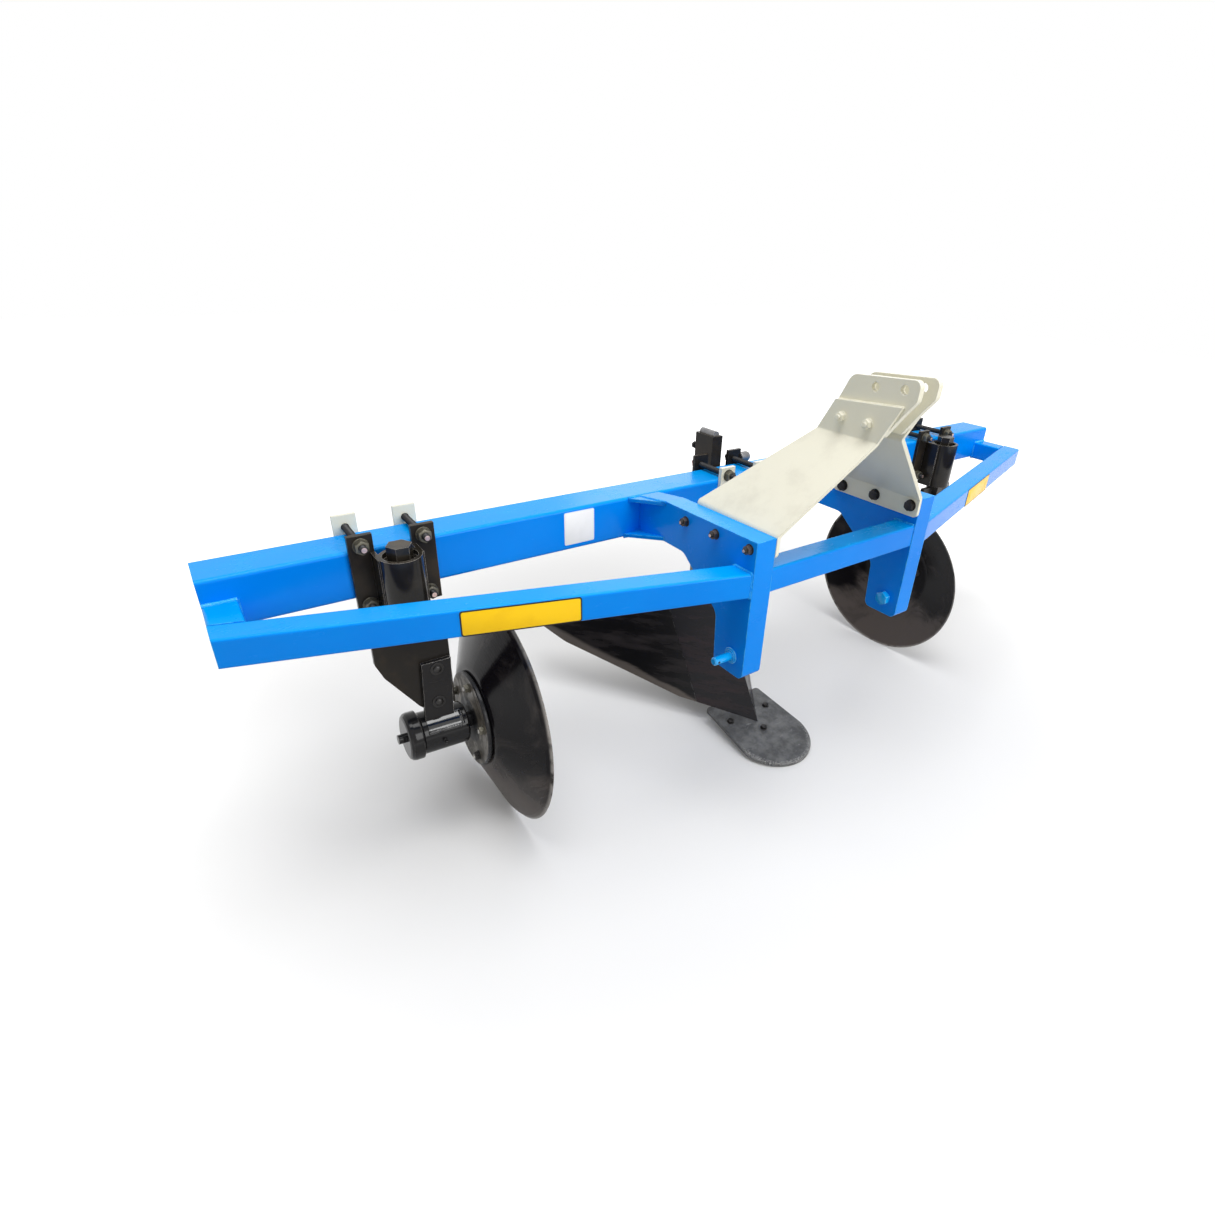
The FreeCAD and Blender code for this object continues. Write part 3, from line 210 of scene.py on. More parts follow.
# %% Recipes: one material each
class Recipe:
    """The nodes of one material or world, from which its finish is cooked."""

    def __init__(self, name, library=None, shader="Principled BSDF"):
        self.material = (bpy.data.materials if library is None else library).new(name)
        self.material.use_nodes = True
        self.tree = self.material.node_tree
        self.shader = self.tree.nodes[shader]
        self.place = self.node("TexCoord", out="Object")

    def node(self, kind, settings=(), inputs=(), out=0):
        """Add a node: its settings first, then the values or links of its sockets."""
        made = self.tree.nodes.new("ShaderNode" + kind)
        for name, value in dict(settings).items():
            setattr(made, name, value)
        for key, value in dict(inputs).items():
            self.feed(self.find(made.inputs, key), value)
        return Field(self, self.find(made.outputs, out))

    def maths(self, operation, *values, kind="Math", out=0):
        """Work on some values with a Math node, or with a VectorMath one."""
        return self.node(kind, {"operation": operation}, dict(enumerate(values)), out)

    @staticmethod
    def find(sockets, key):
        """A socket by its number, or by the name that its node shows."""
        if isinstance(key, int):
            return sockets[key]
        return next(socket for socket in sockets if socket.name == key and socket.enabled)

    def feed(self, socket, value):
        """Link a field to a socket, or set a value; one number for a colour is a grey."""
        if isinstance(value, Field):
            self.tree.links.new(value.socket, socket)
        elif socket.type == "RGBA":
            socket.default_value = (*([value] * 3 if isinstance(value, float) else value), 1)
        else:
            socket.default_value = value

    def noise(self, scale, detail=3.0, roughness=0.5, place=None, distortion=0.0):
        """Soft random clouds; a larger scale gives smaller clouds."""
        inputs = {"Vector": place or self.place, "Scale": scale, "Detail": detail,
                  "Roughness": roughness, "Distortion": distortion}
        return self.node("TexNoise", {}, inputs, out="Fac")

    def stretched(self, x, y, z):
        """Places scaled along each axis, for grain that runs one way."""
        return self.maths("MULTIPLY", self.place, (x, y, z), kind="VectorMath")

    def length(self, vector):
        """How long a vector is."""
        return self.maths("LENGTH", vector, kind="VectorMath", out="Value")

    def ramp(self, value, low, high):
        """0 below low and 1 above high, with a soft change between them."""
        return self.node("MapRange", {"interpolation_type": "SMOOTHSTEP"},
                         {"Value": value, "From Min": low, "From Max": high})

    def mix(self, mask, first, second):
        """A colour that goes from first to second as the mask goes from 0 to 1."""
        return self.node("Mix", {"data_type": "RGBA"}, {"Factor": mask, "A": first, "B": second},
                         out="Result")

    def axes(self, vector=None):
        """The x, y and z of a vector, or of the place on the object."""
        parts = self.node("SeparateXYZ", {}, {"Vector": vector or self.place})
        return [Field(self, socket) for socket in parts.socket.node.outputs]

    def true_normal(self):
        """The direction in which the surface itself looks."""
        return self.node("NewGeometry", out="Normal")

    def rounding(self, radius):
        """The surface's direction with its corners rounded off."""
        return self.node("Bevel", {"samples": 4}, {"Radius": radius}, out="Normal")

    def edges(self, rounded):
        """Near 1 along corners, where the rounded direction leaves the true one."""
        turn = self.maths("DOT_PRODUCT", rounded, self.true_normal(), kind="VectorMath",
                          out="Value")
        return self.ramp(1 - turn, 0.01, 0.12)

    def bump(self, height, distance, strength, over=None):
        """Fine relief; over is the smoother direction on which it lies."""
        inputs = {"Height": height, "Distance": distance, "Strength": strength}
        if over:
            inputs["Normal"] = over
        return self.node("Bump", {}, inputs, out="Normal")

    def seen(self):
        """1 for what the camera sees, straight or in a gloss, and 0 for other light."""
        rays = [self.node("LightPath", out=kind) for kind in ("Is Camera Ray", "Is Glossy Ray")]
        return self.maths("MAXIMUM", *rays)

    def finish(self, **sockets):
        """Set the shader's sockets; underscores in the names stand for spaces."""
        for name, value in sockets.items():
            self.feed(self.shader.inputs[name.replace("_", " ")], value)
        return self.material


print("a recipe can:", ", ".join(name for name in vars(Recipe) if not name.startswith("_")))

# %% [markdown]
# The frame is sprayed with glossy azure enamel.  Sprayed paint isn't one colour: the coat varies,
# dust dulls the faces that look up, corners rub through to a paler undercoat, and the skin has a
# fine ripple.  A picture of worn paint wrapped round each tube would show its seams.  Noise that
# fills space has none, so each of these things is a mask in the recipe.  Painted light rides on the
# same masks: the pale corner colour also paints edge highlights, on the azure the dust colour is a
# lighter azure that paints light on the tops, and upward faces get a painted shading colour,
# lighter on the azure and darker on the cream.  Other colours in the same recipe give the cream
# headstock and the black arms.

# %% Sprayed enamel
def enamel(name, thin, thick, edge_wear_and_highlight, dust_and_top_light, gloss, dust_and_top_light_amount=0.25, wear_and_highlight=0.6, shine=0.16, top_shading=None,
           corner=0.0022):
    """Sprayed paint: thin and thick coats, rubbed corners that also paint edge highlights, dust,
    and painted shading on upward faces.
    """
    cook = Recipe(name)
    rounded = cook.rounding(corner)
    colour = cook.mix(cook.ramp(cook.noise(2.3, 4), 0.32, 0.68), thin, thick)
    cloud = cook.ramp(cook.noise(11, 5, 0.6), 0.45, 0.75)
    up = cook.ramp(cook.axes(cook.true_normal())[2], 0.2, 0.9)
    # Faces that look up take a painted shading colour: lighter on the azure frame, darker on the
    # cream headstock.
    if top_shading:
        colour = cook.mix(up * (0.75 + cloud * 0.25), colour, top_shading)
    # Dust settles most on faces that look up; on the azure its colour is a lighter azure, a painted
    # light on the tops.
    dust_and_top_light_mask = cloud * (up * 0.7 + 0.3) * dust_and_top_light_amount
    colour = cook.mix(dust_and_top_light_mask, colour, dust_and_top_light)
    patchy = 0.25 + cook.ramp(cook.noise(38, 4, 0.6), 0.42, 0.62) * 0.75
    # Corners take the pale rubbed colour: partly real wear, partly a painted highlight along the
    # edges.
    rubbed_and_highlit_edge = cook.edges(rounded) * patchy * wear_and_highlight
    nick = cook.ramp(cook.noise(75, 5, 0.75, cook.stretched(1, 1, 1.6)), 0.74, 0.79) * (wear_and_highlight * 0.7)
    bare_and_highlit = cook.ramp(rubbed_and_highlit_edge + nick, 0.1, 0.6)
    colour = cook.mix(bare_and_highlit, colour, edge_wear_and_highlight)
    scuff = cook.ramp(cook.noise(30, 4, 0.7, cook.stretched(0.35, 1, 1)), 0.55, 0.8)
    skin = cook.noise(420, 2) * 0.35 + cook.noise(26, 3) - bare_and_highlit * 0.8
    return cook.finish(Base_Color=colour, Specular_IOR_Level=shine,
                       Roughness=gloss + scuff * 0.14 + dust_and_top_light_mask * 0.4 + bare_and_highlit * 0.25,
                       Normal=cook.bump(skin, 0.00025, 0.8, rounded))


# The azure's pale cyan corner colour and its lighter dust and top colours paint highlights on the
# frame's edges and upward faces.
blue = enamel("azure_enamel", (0.0, 0.23, 0.85), (0.0, 0.275, 0.94), (0.10, 0.64, 0.97),
              (0.0, 0.34, 0.84), 0.22, wear_and_highlight=0.85, shine=0.11, top_shading=(0.0, 0.325, 0.83),
              corner=0.0036)
# A lighter copy of the azure paints highlights on the hitch pins, their collars and nuts, and the
# welds atop the end tubes.
highlit_blue = enamel("painted_highlight_azure", (0.0, 0.38, 0.92), (0.01, 0.46, 0.95), (0.3, 0.75, 0.95),
                  (0.0, 0.34, 0.84), 0.16, wear_and_highlight=0.8, shine=0.5)
# On the cream, upward faces get a darker colour, a painted shade, and the near-white corner colour
# paints edge highlights as well as wear.
cream = enamel("cream_enamel", (0.87, 0.84, 0.68), (0.92, 0.89, 0.73), (0.95, 0.94, 0.87),
               (0.54, 0.5, 0.38), 0.3, wear_and_highlight=0.9, top_shading=(0.74, 0.72, 0.615))
print("paints:", blue.name, highlit_blue.name, cream.name)

# %% [markdown]
# The arms and clamps are black, but no two blacks are alike.  The housing is wet and clean, the
# clamp plates are brown with dust, and the strap and the pipe are rubbed to pale metal along their
# edges.  So each gets its own colours, dust and wear from the same recipe.

# %% The black paints
black = enamel("black_enamel", (0.0055, 0.0053, 0.006), (0.009, 0.0088, 0.0095),
               (0.12, 0.115, 0.11), (0.035, 0.03, 0.024), 0.12, dust_and_top_light_amount=0.3, wear_and_highlight=0.75, shine=0.22)
olive = enamel("dusty_black_plate", (0.014, 0.012, 0.0105), (0.023, 0.0195, 0.0155),
               (0.16, 0.145, 0.12), (0.11, 0.075, 0.04), 0.28, dust_and_top_light_amount=0.7, wear_and_highlight=0.8, shine=0.14)
strap_black = enamel("rubbed_black_strap", (0.011, 0.0105, 0.011), (0.018, 0.0165, 0.0165),
                     (0.42, 0.4, 0.37), (0.05, 0.043, 0.036), 0.24, dust_and_top_light_amount=0.4, wear_and_highlight=1.5)
pipe_black = enamel("scuffed_black_pipe", (0.011, 0.0098, 0.008), (0.022, 0.019, 0.0145),
                    (0.34, 0.31, 0.27), (0.09, 0.073, 0.052), 0.16, dust_and_top_light_amount=0.75, wear_and_highlight=1.4,
                    shine=0.22)
wet_black = enamel("glossy_black_bead", (0.004, 0.004, 0.0045), (0.007, 0.007, 0.0075),
                   0.2, (0.03, 0.026, 0.02), 0.07, dust_and_top_light_amount=0.2, wear_and_highlight=0.4, shine=0.8)
red_nut = enamel("red_nut_paint", (0.35, 0.01, 0.015), (0.5, 0.02, 0.02), (0.4, 0.2, 0.18),
                 (0.2, 0.06, 0.05), 0.3)
print("paints now:", len(bpy.data.materials))

# %% [markdown]
# Bare steel comes in several states here: forged bar, dark oiled threads, zinc on the nuts.  All
# of them are metal with a colour, so Metallic is high and the colour tints the reflection.  Grime
# lowers the metal and raises the roughness where it lies.

# %% Bare metal
def metal(name, colour, grime, rough, grimy=0.4, grain=180.0):
    """Bare or plated metal with patches of grime and a fine grain."""
    cook = Recipe(name)
    patch = cook.ramp(cook.noise(45, 5, 0.65), 0.42, 0.7) * grimy
    speck = cook.ramp(cook.noise(grain, 3, 0.6), 0.35, 0.75)
    clean = cook.mix(speck, [value * 0.75 for value in colour], colour)
    return cook.finish(Base_Color=cook.mix(patch, clean, grime), Metallic=0.85 - patch * 0.6,
                       Roughness=rough + speck * 0.1 + patch * 0.3,
                       Normal=cook.bump(speck, 0.00012, 0.6, cook.rounding(0.0008)))


zinc = metal("zinc_nut", (0.55, 0.53, 0.5), (0.09, 0.07, 0.055), 0.32)
blush = metal("passivated_bolt_end", (0.75, 0.55, 0.5), (0.16, 0.1, 0.08), 0.28, 0.25)
olive_nut = metal("grimy_nut", (0.17, 0.16, 0.125), (0.05, 0.045, 0.033), 0.4, 0.5)
thread_steel = metal("oiled_thread", (0.05, 0.05, 0.052), (0.018, 0.016, 0.015), 0.38, 0.5)
grimy_bolt = metal("rusty_black_nut", (0.13, 0.105, 0.092), (0.04, 0.032, 0.028), 0.34, 0.5)
dark_bolt = metal("blackened_bolt", (0.045, 0.043, 0.042), (0.02, 0.018, 0.016), 0.36)
grey_bar = metal("grey_forged_bar", (0.28, 0.28, 0.285), (0.12, 0.11, 0.1), 0.45, 0.5, 60)
print("materials so far:", len(bpy.data.materials))

# %% [markdown]
# A disc is pressed from dark steel plate and lacquered.  Rolling leaves faint rings round its axis,
# and brown smears lie on it; the smear colour also grows towards the bottom of the disc.  The rings
# need the distance from the axis, so they use the disc's joint: a cross product with the axis keeps
# what lies across it.

# %% Distance from a disc's axis
joints = {joint["name"]: joint for joint in frame["joints"]}


def from_axis(cook, hand):
    """The distance in metres from a disc's axis, as a field."""
    joint = joints["disc_%s_spin" % hand]
    away = cook.maths("SUBTRACT", cook.place, Vector(joint["pos_m"]), kind="VectorMath")
    return cook.length(cook.maths("CROSS_PRODUCT", away, Vector(joint["axis"]), kind="VectorMath"))


print("joints:", ", ".join(joints))

# %% Disc lacquer
DISC_EDGE = 0.2965, 0.3035


def lacquer(hand):
    """Dark lacquered disc steel with faint rolling rings, smears and a bright ground edge."""
    cook = Recipe("disc_lacquer_" + hand)
    radius = from_axis(cook, hand)
    spiral = cook.node("CombineXYZ", {}, {"X": radius * 260, "Y": cook.noise(3, 2) * 1.5})
    rings = cook.noise(1.0, 3, 0.6, spiral)
    height = cook.axes()[2] + cook.noise(4, 3, distortion=0.6) * 0.3
    # The disc turns lighter and browner towards its bottom.
    low = 1 - cook.ramp(height - 0.15, 0.12, 0.3)
    smear = cook.ramp(cook.noise(5, 5, 0.6, distortion=1.4) + low * 0.5, 0.5, 0.92)
    colour = cook.mix(smear, (0.005, 0.0042, 0.0055), (0.098, 0.082, 0.074))
    fleck = cook.ramp(cook.noise(95, 4, 0.7), 0.7, 0.77)
    colour = cook.mix(fleck * 0.5, colour, (0.3, 0.28, 0.26))
    edge = cook.ramp(radius, *DISC_EDGE) * cook.ramp(cook.noise(30, 3), 0.25, 0.5)
    colour = cook.mix(edge * 0.8, colour, (0.32, 0.3, 0.28))
    skin = rings * 0.6 + cook.noise(22, 3) * 1.2
    return cook.finish(Base_Color=colour, Metallic=edge * 0.6,
                       Roughness=0.13 + smear * 0.2 + rings * 0.05,
                       Normal=cook.bump(skin, 0.0004, 0.7, cook.rounding(0.0015)),
                       Specular_IOR_Level=0.12)


print("the ground edge starts", DISC_EDGE[0], "m from the axis")

# %% [markdown]
# The flange behind the disc has lost most of its paint: tan-grey metal shows, with old dark
# grease near the axle and a dark band round the rim.  Both follow the distance from the axis, and
# a little noise added to it keeps them from being perfect circles.

# %% Worn hub flange
FLANGE_RIM = 0.123, 0.128


def worn_flange(hand):
    """Tan-grey flange steel with grease at the axle and a dark band at the rim."""
    cook = Recipe("worn_flange_" + hand)
    radius = from_axis(cook, hand)
    blotch = cook.ramp(cook.noise(14, 5, 0.65, distortion=0.8), 0.44, 0.6)
    tan = cook.mix(cook.ramp(cook.noise(40, 4), 0.3, 0.7), (0.11, 0.097, 0.078),
                   (0.21, 0.185, 0.15))
    colour = cook.mix(blotch * 0.8, tan, (0.026, 0.024, 0.021))
    rim = cook.ramp(radius + cook.noise(30, 3) * 0.006, *FLANGE_RIM)
    grease = 1 - cook.ramp(radius - cook.noise(25, 3) * 0.02, 0.045, 0.062)
    colour = cook.mix(cook.ramp(rim + grease, 0.2, 0.9), colour, (0.016, 0.016, 0.017))
    skin = blotch * 0.4 + cook.noise(160, 2) * 0.3
    return cook.finish(Base_Color=colour, Metallic=0.15, Roughness=0.34 + blotch * 0.2 - rim * 0.1,
                       Normal=cook.bump(skin, 0.0004, 0.6, cook.rounding(0.002)),
                       Specular_IOR_Level=0.25)


print("the flange's rim band starts", FLANGE_RIM[0], "m from the axis")

# %% [markdown]
# Mouldboards are lacquered nearly black, then scoured by soil.  Long faint streaks run back and up
# along the board, a paler band runs along the lower edge and widens towards the tip, and the shin
# plates keep a warmer brown.  The band needs the height above the lower edge, which is a straight
# line as seen from in front.

# %% Mouldboard steel
wing_low = corners_of("wing_right")[0]
EDGE_START = wing_low.x + 16 * MM
EDGE_CLIMB = 0.473
BAND = 18 * MM


def board_steel(name, dark, warm, has_lower_band):
    """Scoured plate; the flag after the colours is 1 if a paler band runs along its lower edge, or
    else 0.
    """
    cook = Recipe(name)
    x, _, z = cook.axes()
    rounded = cook.rounding(0.0012)
    out = cook.maths("ABSOLUTE", x)
    streak = cook.noise(9, 5, 0.62, cook.stretched(0.7, 0.5, 3.2))
    smear = cook.ramp(streak, 0.4, 0.7)
    colour = cook.mix(smear, dark, warm)
    width = BAND + (out - EDGE_START) * 0.05
    above_edge = z - wing_low.z - (out - EDGE_START) * EDGE_CLIMB
    # A paler band along the lower edge, wider towards the tip.
    lower_band = (1 - cook.ramp((above_edge + (streak - 0.5) * 0.03) / width, 0.55, 1.15)) * has_lower_band
    colour = cook.mix(lower_band * 0.75, colour, (0.15, 0.13, 0.115))
    scratch = cook.ramp(cook.noise(60, 4, 0.7, cook.stretched(0.3, 0.25, 2.5)), 0.68, 0.76)
    seam = cook.edges(rounded) * cook.ramp(cook.noise(28, 5, 0.7), 0.46, 0.62)
    colour = cook.mix(scratch * 0.1 + seam * 0.6, colour, (0.3, 0.29, 0.28))
    skin = streak * 0.5 + cook.noise(30, 3) * 0.5
    return cook.finish(Base_Color=colour, Metallic=lower_band * 0.3,
                       Roughness=0.24 + smear * 0.14 + lower_band * 0.12,
                       Normal=cook.bump(skin, 0.0005, 0.7, rounded), Specular_IOR_Level=0.2)


wing_steel = board_steel("wing_steel", (0.006, 0.0058, 0.0065), (0.023, 0.0195, 0.0205), 1)
shin_steel = board_steel("shin_steel", (0.015, 0.0145, 0.017), (0.034, 0.024, 0.026), 0)
print("worn edge from x =", round(EDGE_START, 3))

# %% [markdown]
# The share is plain forged steel, matte and grey.  Its nose was dressed with a grinder, so a
# speckled lighter band follows the rounded edge.  The band needs the distance from the middle of
# the nose's arc, which the share's box gives.

# %% Share steel
share_low, share_high = corners_of("share")
NOSE_RADIUS = (share_high.x - share_low.x) / 2 + 2 * MM
NOSE_MIDDLE = share_low.y + NOSE_RADIUS

cook = Recipe("share_steel")
x, y, _ = cook.axes()
reach = cook.length(cook.node("CombineXYZ", {}, {"X": x, "Y": y - NOSE_MIDDLE}))
front = 1 - cook.ramp(y, NOSE_MIDDLE - 0.03, NOSE_MIDDLE + 0.02)
inner, outer = NOSE_RADIUS - 0.012, NOSE_RADIUS - 0.002
band = cook.ramp(reach + cook.noise(35, 3) * 0.01, inner, outer) * front
ground = band * cook.ramp(cook.noise(330, 3, 0.7), 0.5, 0.62)
mottle = cook.ramp(cook.noise(24, 5, 0.65), 0.35, 0.68)
colour = cook.mix(mottle, (0.07, 0.071, 0.072), (0.15, 0.152, 0.152))
colour = cook.mix(ground * 0.8, colour, (0.5, 0.5, 0.49))
scratch = cook.ramp(cook.noise(70, 4, 0.75, cook.stretched(0.25, 1, 1)), 0.62, 0.7)
colour = cook.mix(scratch * 0.5, colour, 0.32)
skin = mottle * 0.8 + cook.noise(200, 3) * 0.6 + ground * 0.8
share_steel = cook.finish(Base_Color=colour, Metallic=0.35,
                          Roughness=0.46 + mottle * 0.1 - scratch * 0.08,
                          Normal=cook.bump(skin, 0.0005, 0.8, cook.rounding(0.0015)))
print("nose radius, metres:", round(NOSE_RADIUS, 4))

# %% [markdown]
# Every node already has its shape, so dressing it only means putting a material in its slot.  A
# table from the start of a node's name to its finish keeps that in one place; of two starts that
# fit, the longer one wins.

# %% Finishes on the packed nodes
finishes = {
    "corner_gussets": blue, "end_tube": blue, "front_tube": blue, "rear_beam": blue,
    "side_member": blue, "hitch_pin": highlit_blue, "back_plate_left": cream,
    "clamp_plates_centre": cream, "headstock_plate": cream, "top_link_ear": cream,
    "arm_plate": olive, "back_plate": olive, "clamp_plates": olive, "shank_socket": olive,
    "bearing_housing": black, "frog": black, "housing_cap": black, "wing_stay": black,
    "arm_shank": pipe_black, "sleeve": pipe_black, "hub_strap": strap_black,
    "clamp_rods": thread_steel, "body_shank": grey_bar, "share": share_steel,
    "shin_plate": shin_steel, "wing": wing_steel,
}
for hand in HANDS:
    finishes["disc_blade_" + hand] = lacquer(hand)
    finishes["hub_flange_" + hand] = worn_flange(hand)
for node, thing in frame["nodes"].items():
    longest = max(filter(node.startswith, finishes), key=len)
    thing.data.materials.clear()
    thing.data.materials.append(finishes[longest])
print("nodes dressed:", len(frame["nodes"]))

# %% [markdown]
# The added pieces are all built the same way.  `Piece` collects rings of points in a bmesh,
# skins them, and becomes one object that rides on a body.  A nut, a washer, a thread and a weld
# bead are then short recipes of rings.  Joined cylinders would need cutting to get chamfers and
# threads; rings have them at once.  Sharp corners stay crisp, and the rest is shaded smooth.

# %% Piece: a bench for small forms
SHARP = math.radians(32)


def circle(at, radius, height, count):
    """Points round a frame's z axis; a radius of nothing gives its one middle point."""
    steps = count if radius else 1
    return [at @ Vector((radius * math.cos(i * math.tau / steps),
                         radius * math.sin(i * math.tau / steps), height)) for i in range(steps)]


class Piece:
    """One visible object, gathered from skinned rings of points."""

    def __init__(self, name, slot, finishes, body="frame"):
        self.name, self.slot, self.finishes, self.body = name, slot, finishes, body
        self.mesh = bmesh.new()

    def skin(self, rings, finish=0, closed=False, capped=True):
        """Join rings of points side by side; a ring of one point closes the form."""
        rings = [[self.mesh.verts.new(point) for point in ring] for ring in rings]
        pairs = list(zip(rings, rings[1:]))
        if closed:
            pairs.append((rings[-1], rings[0]))
        for low, high in pairs:
            count = max(len(low), len(high))
            for i in range(count):
                j = (i + 1) % count
                corners = [low[i % len(low)], low[j % len(low)],
                           high[j % len(high)], high[i % len(high)]]
                corners = list(dict.fromkeys(corners))
                if len(corners) > 2:
                    self.mesh.faces.new(corners).material_index = finish
        if capped and not closed:
            for ring in (rings[0], rings[-1]):
                if len(ring) > 2:
                    self.mesh.faces.new(ring).material_index = finish

    def turned(self, at, profile, count=24, finish=0, closed=False):
        """A form turned about a frame's z axis, from (height, radius) pairs in metres."""
        self.skin([circle(at, radius, height, count) for height, radius in profile], finish, closed)

    def done(self):
        """Turn the gathered forms into an object on its body."""
        bmesh.ops.recalc_face_normals(self.mesh, faces=self.mesh.faces)
        for face in self.mesh.faces:
            face.smooth = True
        for edge in self.mesh.edges:
            edge.smooth = len(edge.link_faces) == 2 and edge.calc_face_angle(0) < SHARP
        data = bpy.data.meshes.new(self.name)
        self.mesh.to_mesh(data)
        self.mesh.free()
        for finish in self.finishes:
            data.materials.append(finish)
        thing = added(self.name, data)
        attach(thing, self.body)
        print(self.name, "has", len(data.polygons), "faces")
        return thing


print("corners turn crisp over", round(math.degrees(SHARP)), "degrees")

# %% [markdown]
# A hexagon nut is a hexagonal bar whose ends are turned to a cone, which leaves curved lines on
# its flats.  So each point of a ring has its own height: the cone cuts most at the corners.

# %% Nuts and washers
NUT_STEPS = 36
CONE_START, CONE_SLOPE = 0.96, 0.55


def nut(piece, at, width, height, hole=0.0, finish=0):
    """A hexagon nut or head of a given width across flats, standing on a frame's origin."""
    flat = width / 2
    face = flat * CONE_START

    def hexagon(level, inward):
        points = []
        for i in range(NUT_STEPS):
            angle = i * math.tau / NUT_STEPS
            swing = (angle + math.pi / 6) % (math.pi / 3) - math.pi / 6
            radius = flat / math.cos(swing)
            points.append(at @ Vector((radius * math.cos(angle), radius * math.sin(angle),
                                       level + inward * (radius - face) * CONE_SLOPE)))
        return points

    rings = [circle(at, face, 0, NUT_STEPS), hexagon(0, 1), hexagon(height, -1),
             circle(at, face, height, NUT_STEPS)]
    if hole:
        rings += [circle(at, hole, height, NUT_STEPS), circle(at, hole, 0, NUT_STEPS)]
    piece.skin(rings, finish, closed=bool(hole))


def washer(piece, at, radius, hole, thick, finish=0):
    """A flat ring with softened rims."""
    rim = thick * 0.25
    piece.turned(at, [(0, hole), (0, radius - rim), (rim, radius), (thick - rim, radius),
                      (thick, radius - rim), (thick, hole)], 28, finish, closed=True)


print("nut rings have", NUT_STEPS, "points each")

# %% [markdown]
# A real thread is a helix.  Rings one pitch apart look the same at this size and close at both
# ends by themselves.  A bolt's end with its washer and nut, and a plain or domed head, then come
# from the same few forms, whose sizes are so many radii of the bolt.

# %% Threads and heads
WASHER_THICK, WASHER_REACH, ACROSS_FLATS = 0.32, 2.1, 3.25
BOLT_PITCH = 1.6 * MM


def threaded(piece, at, start, end, radius, pitch, finish=0, count=18):
    """A threaded length with a chamfer at each end."""
    depth = pitch * 0.42
    profile = [(start, radius - 2 * depth)]
    for i in range(int((end - start) / pitch)):
        low = start + (i + 0.1) * pitch
        profile += [(low, radius - depth), (low + pitch * 0.45, radius)]
    profile.append((end, radius - 2 * depth))
    piece.turned(at, profile, count, finish)


def bolted(piece, at, radius, tail, nut_finish=0, end_finish=1, washer_finish=0):
    """Washer, nut and the bolt's end standing out of it; gives the height of that end."""
    thick, height = radius * WASHER_THICK, radius * 1.65
    washer(piece, at, radius * WASHER_REACH, radius * 0.9, thick, washer_finish)
    lifted = at @ Matrix.Translation((0, 0, thick))
    nut(piece, lifted, radius * ACROSS_FLATS, height, radius * 0.9, nut_finish)
    threaded(piece, lifted, height * 0.4, height + tail, radius, BOLT_PITCH, end_finish)
    return thick + height + tail


def hex_head(piece, at, radius):
    """Washer and plain hexagon head."""
    thick = radius * WASHER_THICK
    washer(piece, at, radius * WASHER_REACH, radius * 0.5, thick)
    nut(piece, at @ Matrix.Translation((0, 0, thick)), radius * ACROSS_FLATS, radius * 1.3)


def dome(piece, at, radius, height, finish=0, skirt=1.6):
    """A low domed head on a broad washer."""
    thick = radius * 0.18
    washer(piece, at, radius * skirt, radius * 0.4, thick, finish)
    steps = 6
    profile = [(thick, radius)]
    for i in range(1, steps):
        angle = i * math.pi / 2 / steps
        profile.append((thick + height * (0.25 + 0.75 * math.sin(angle)), radius * math.cos(angle)))
    profile.append((thick + height, 0))
    piece.turned(at, profile, 24, finish)


print("heads ready:", hex_head.__name__, dome.__name__)

# %% [markdown]
# Hand welds are rows of small overlapping puddles.  `bead` sweeps an eight-sided ring along a
# line of points and lets its size swell and shrink with every puddle.  Half of it sinks into the
# corner, as a real fillet weld fills it.

# %% Weld beads
PUDDLE = 6.5 * MM
BEAD_STEP = 2.2 * MM


def bead(piece, points, radius=0.0042, finish=0):
    """A weld bead along straight runs between points."""
    points = [Vector(point) for point in points]
    path = []
    for start, end in zip(points, points[1:]):
        run = end - start
        count = max(2, int(run.length / BEAD_STEP))
        path += [(start + run * i / count, run.normalized())
                 for i in range(count + (end is points[-1]))]
    rings = []
    travelled = 0.0
    for i, (place, along) in enumerate(path):
        if i:
            travelled += (place - path[i - 1][0]).length
        phase = travelled / PUDDLE
        swell = 0.84 + 0.16 * abs(math.sin(math.pi * phase)) + 0.07 * math.sin(phase * 0.71)
        rings.append(circle(facing(place, along), radius * swell, 0, 8))
    piece.skin(rings, finish)


print("one puddle is", round(PUDDLE / MM, 1), "mm long")

# %% [markdown]
# Where does each weld run?  The end tubes and slanting tubes meet the beam and the side members
# in flat faces, so each weld is the outline of a tube's end, and its corners come from the boxes
# of the pieces that meet.  A slanting tube is cut askew, so its cut face is deeper than the tube.

# %% Frame welds
slant_low, slant_high = corners_of("front_tube_right")
TUBE = slant_high.z - slant_low.z
END_REACH = 155 * MM
SLANT = (beam_low.y - END_REACH - slant_low.y) / (slant_high.x - slant_low.x)
CUT_FACE = TUBE * math.hypot(1, SLANT)
CROWN = spot(0, 0, -3).z

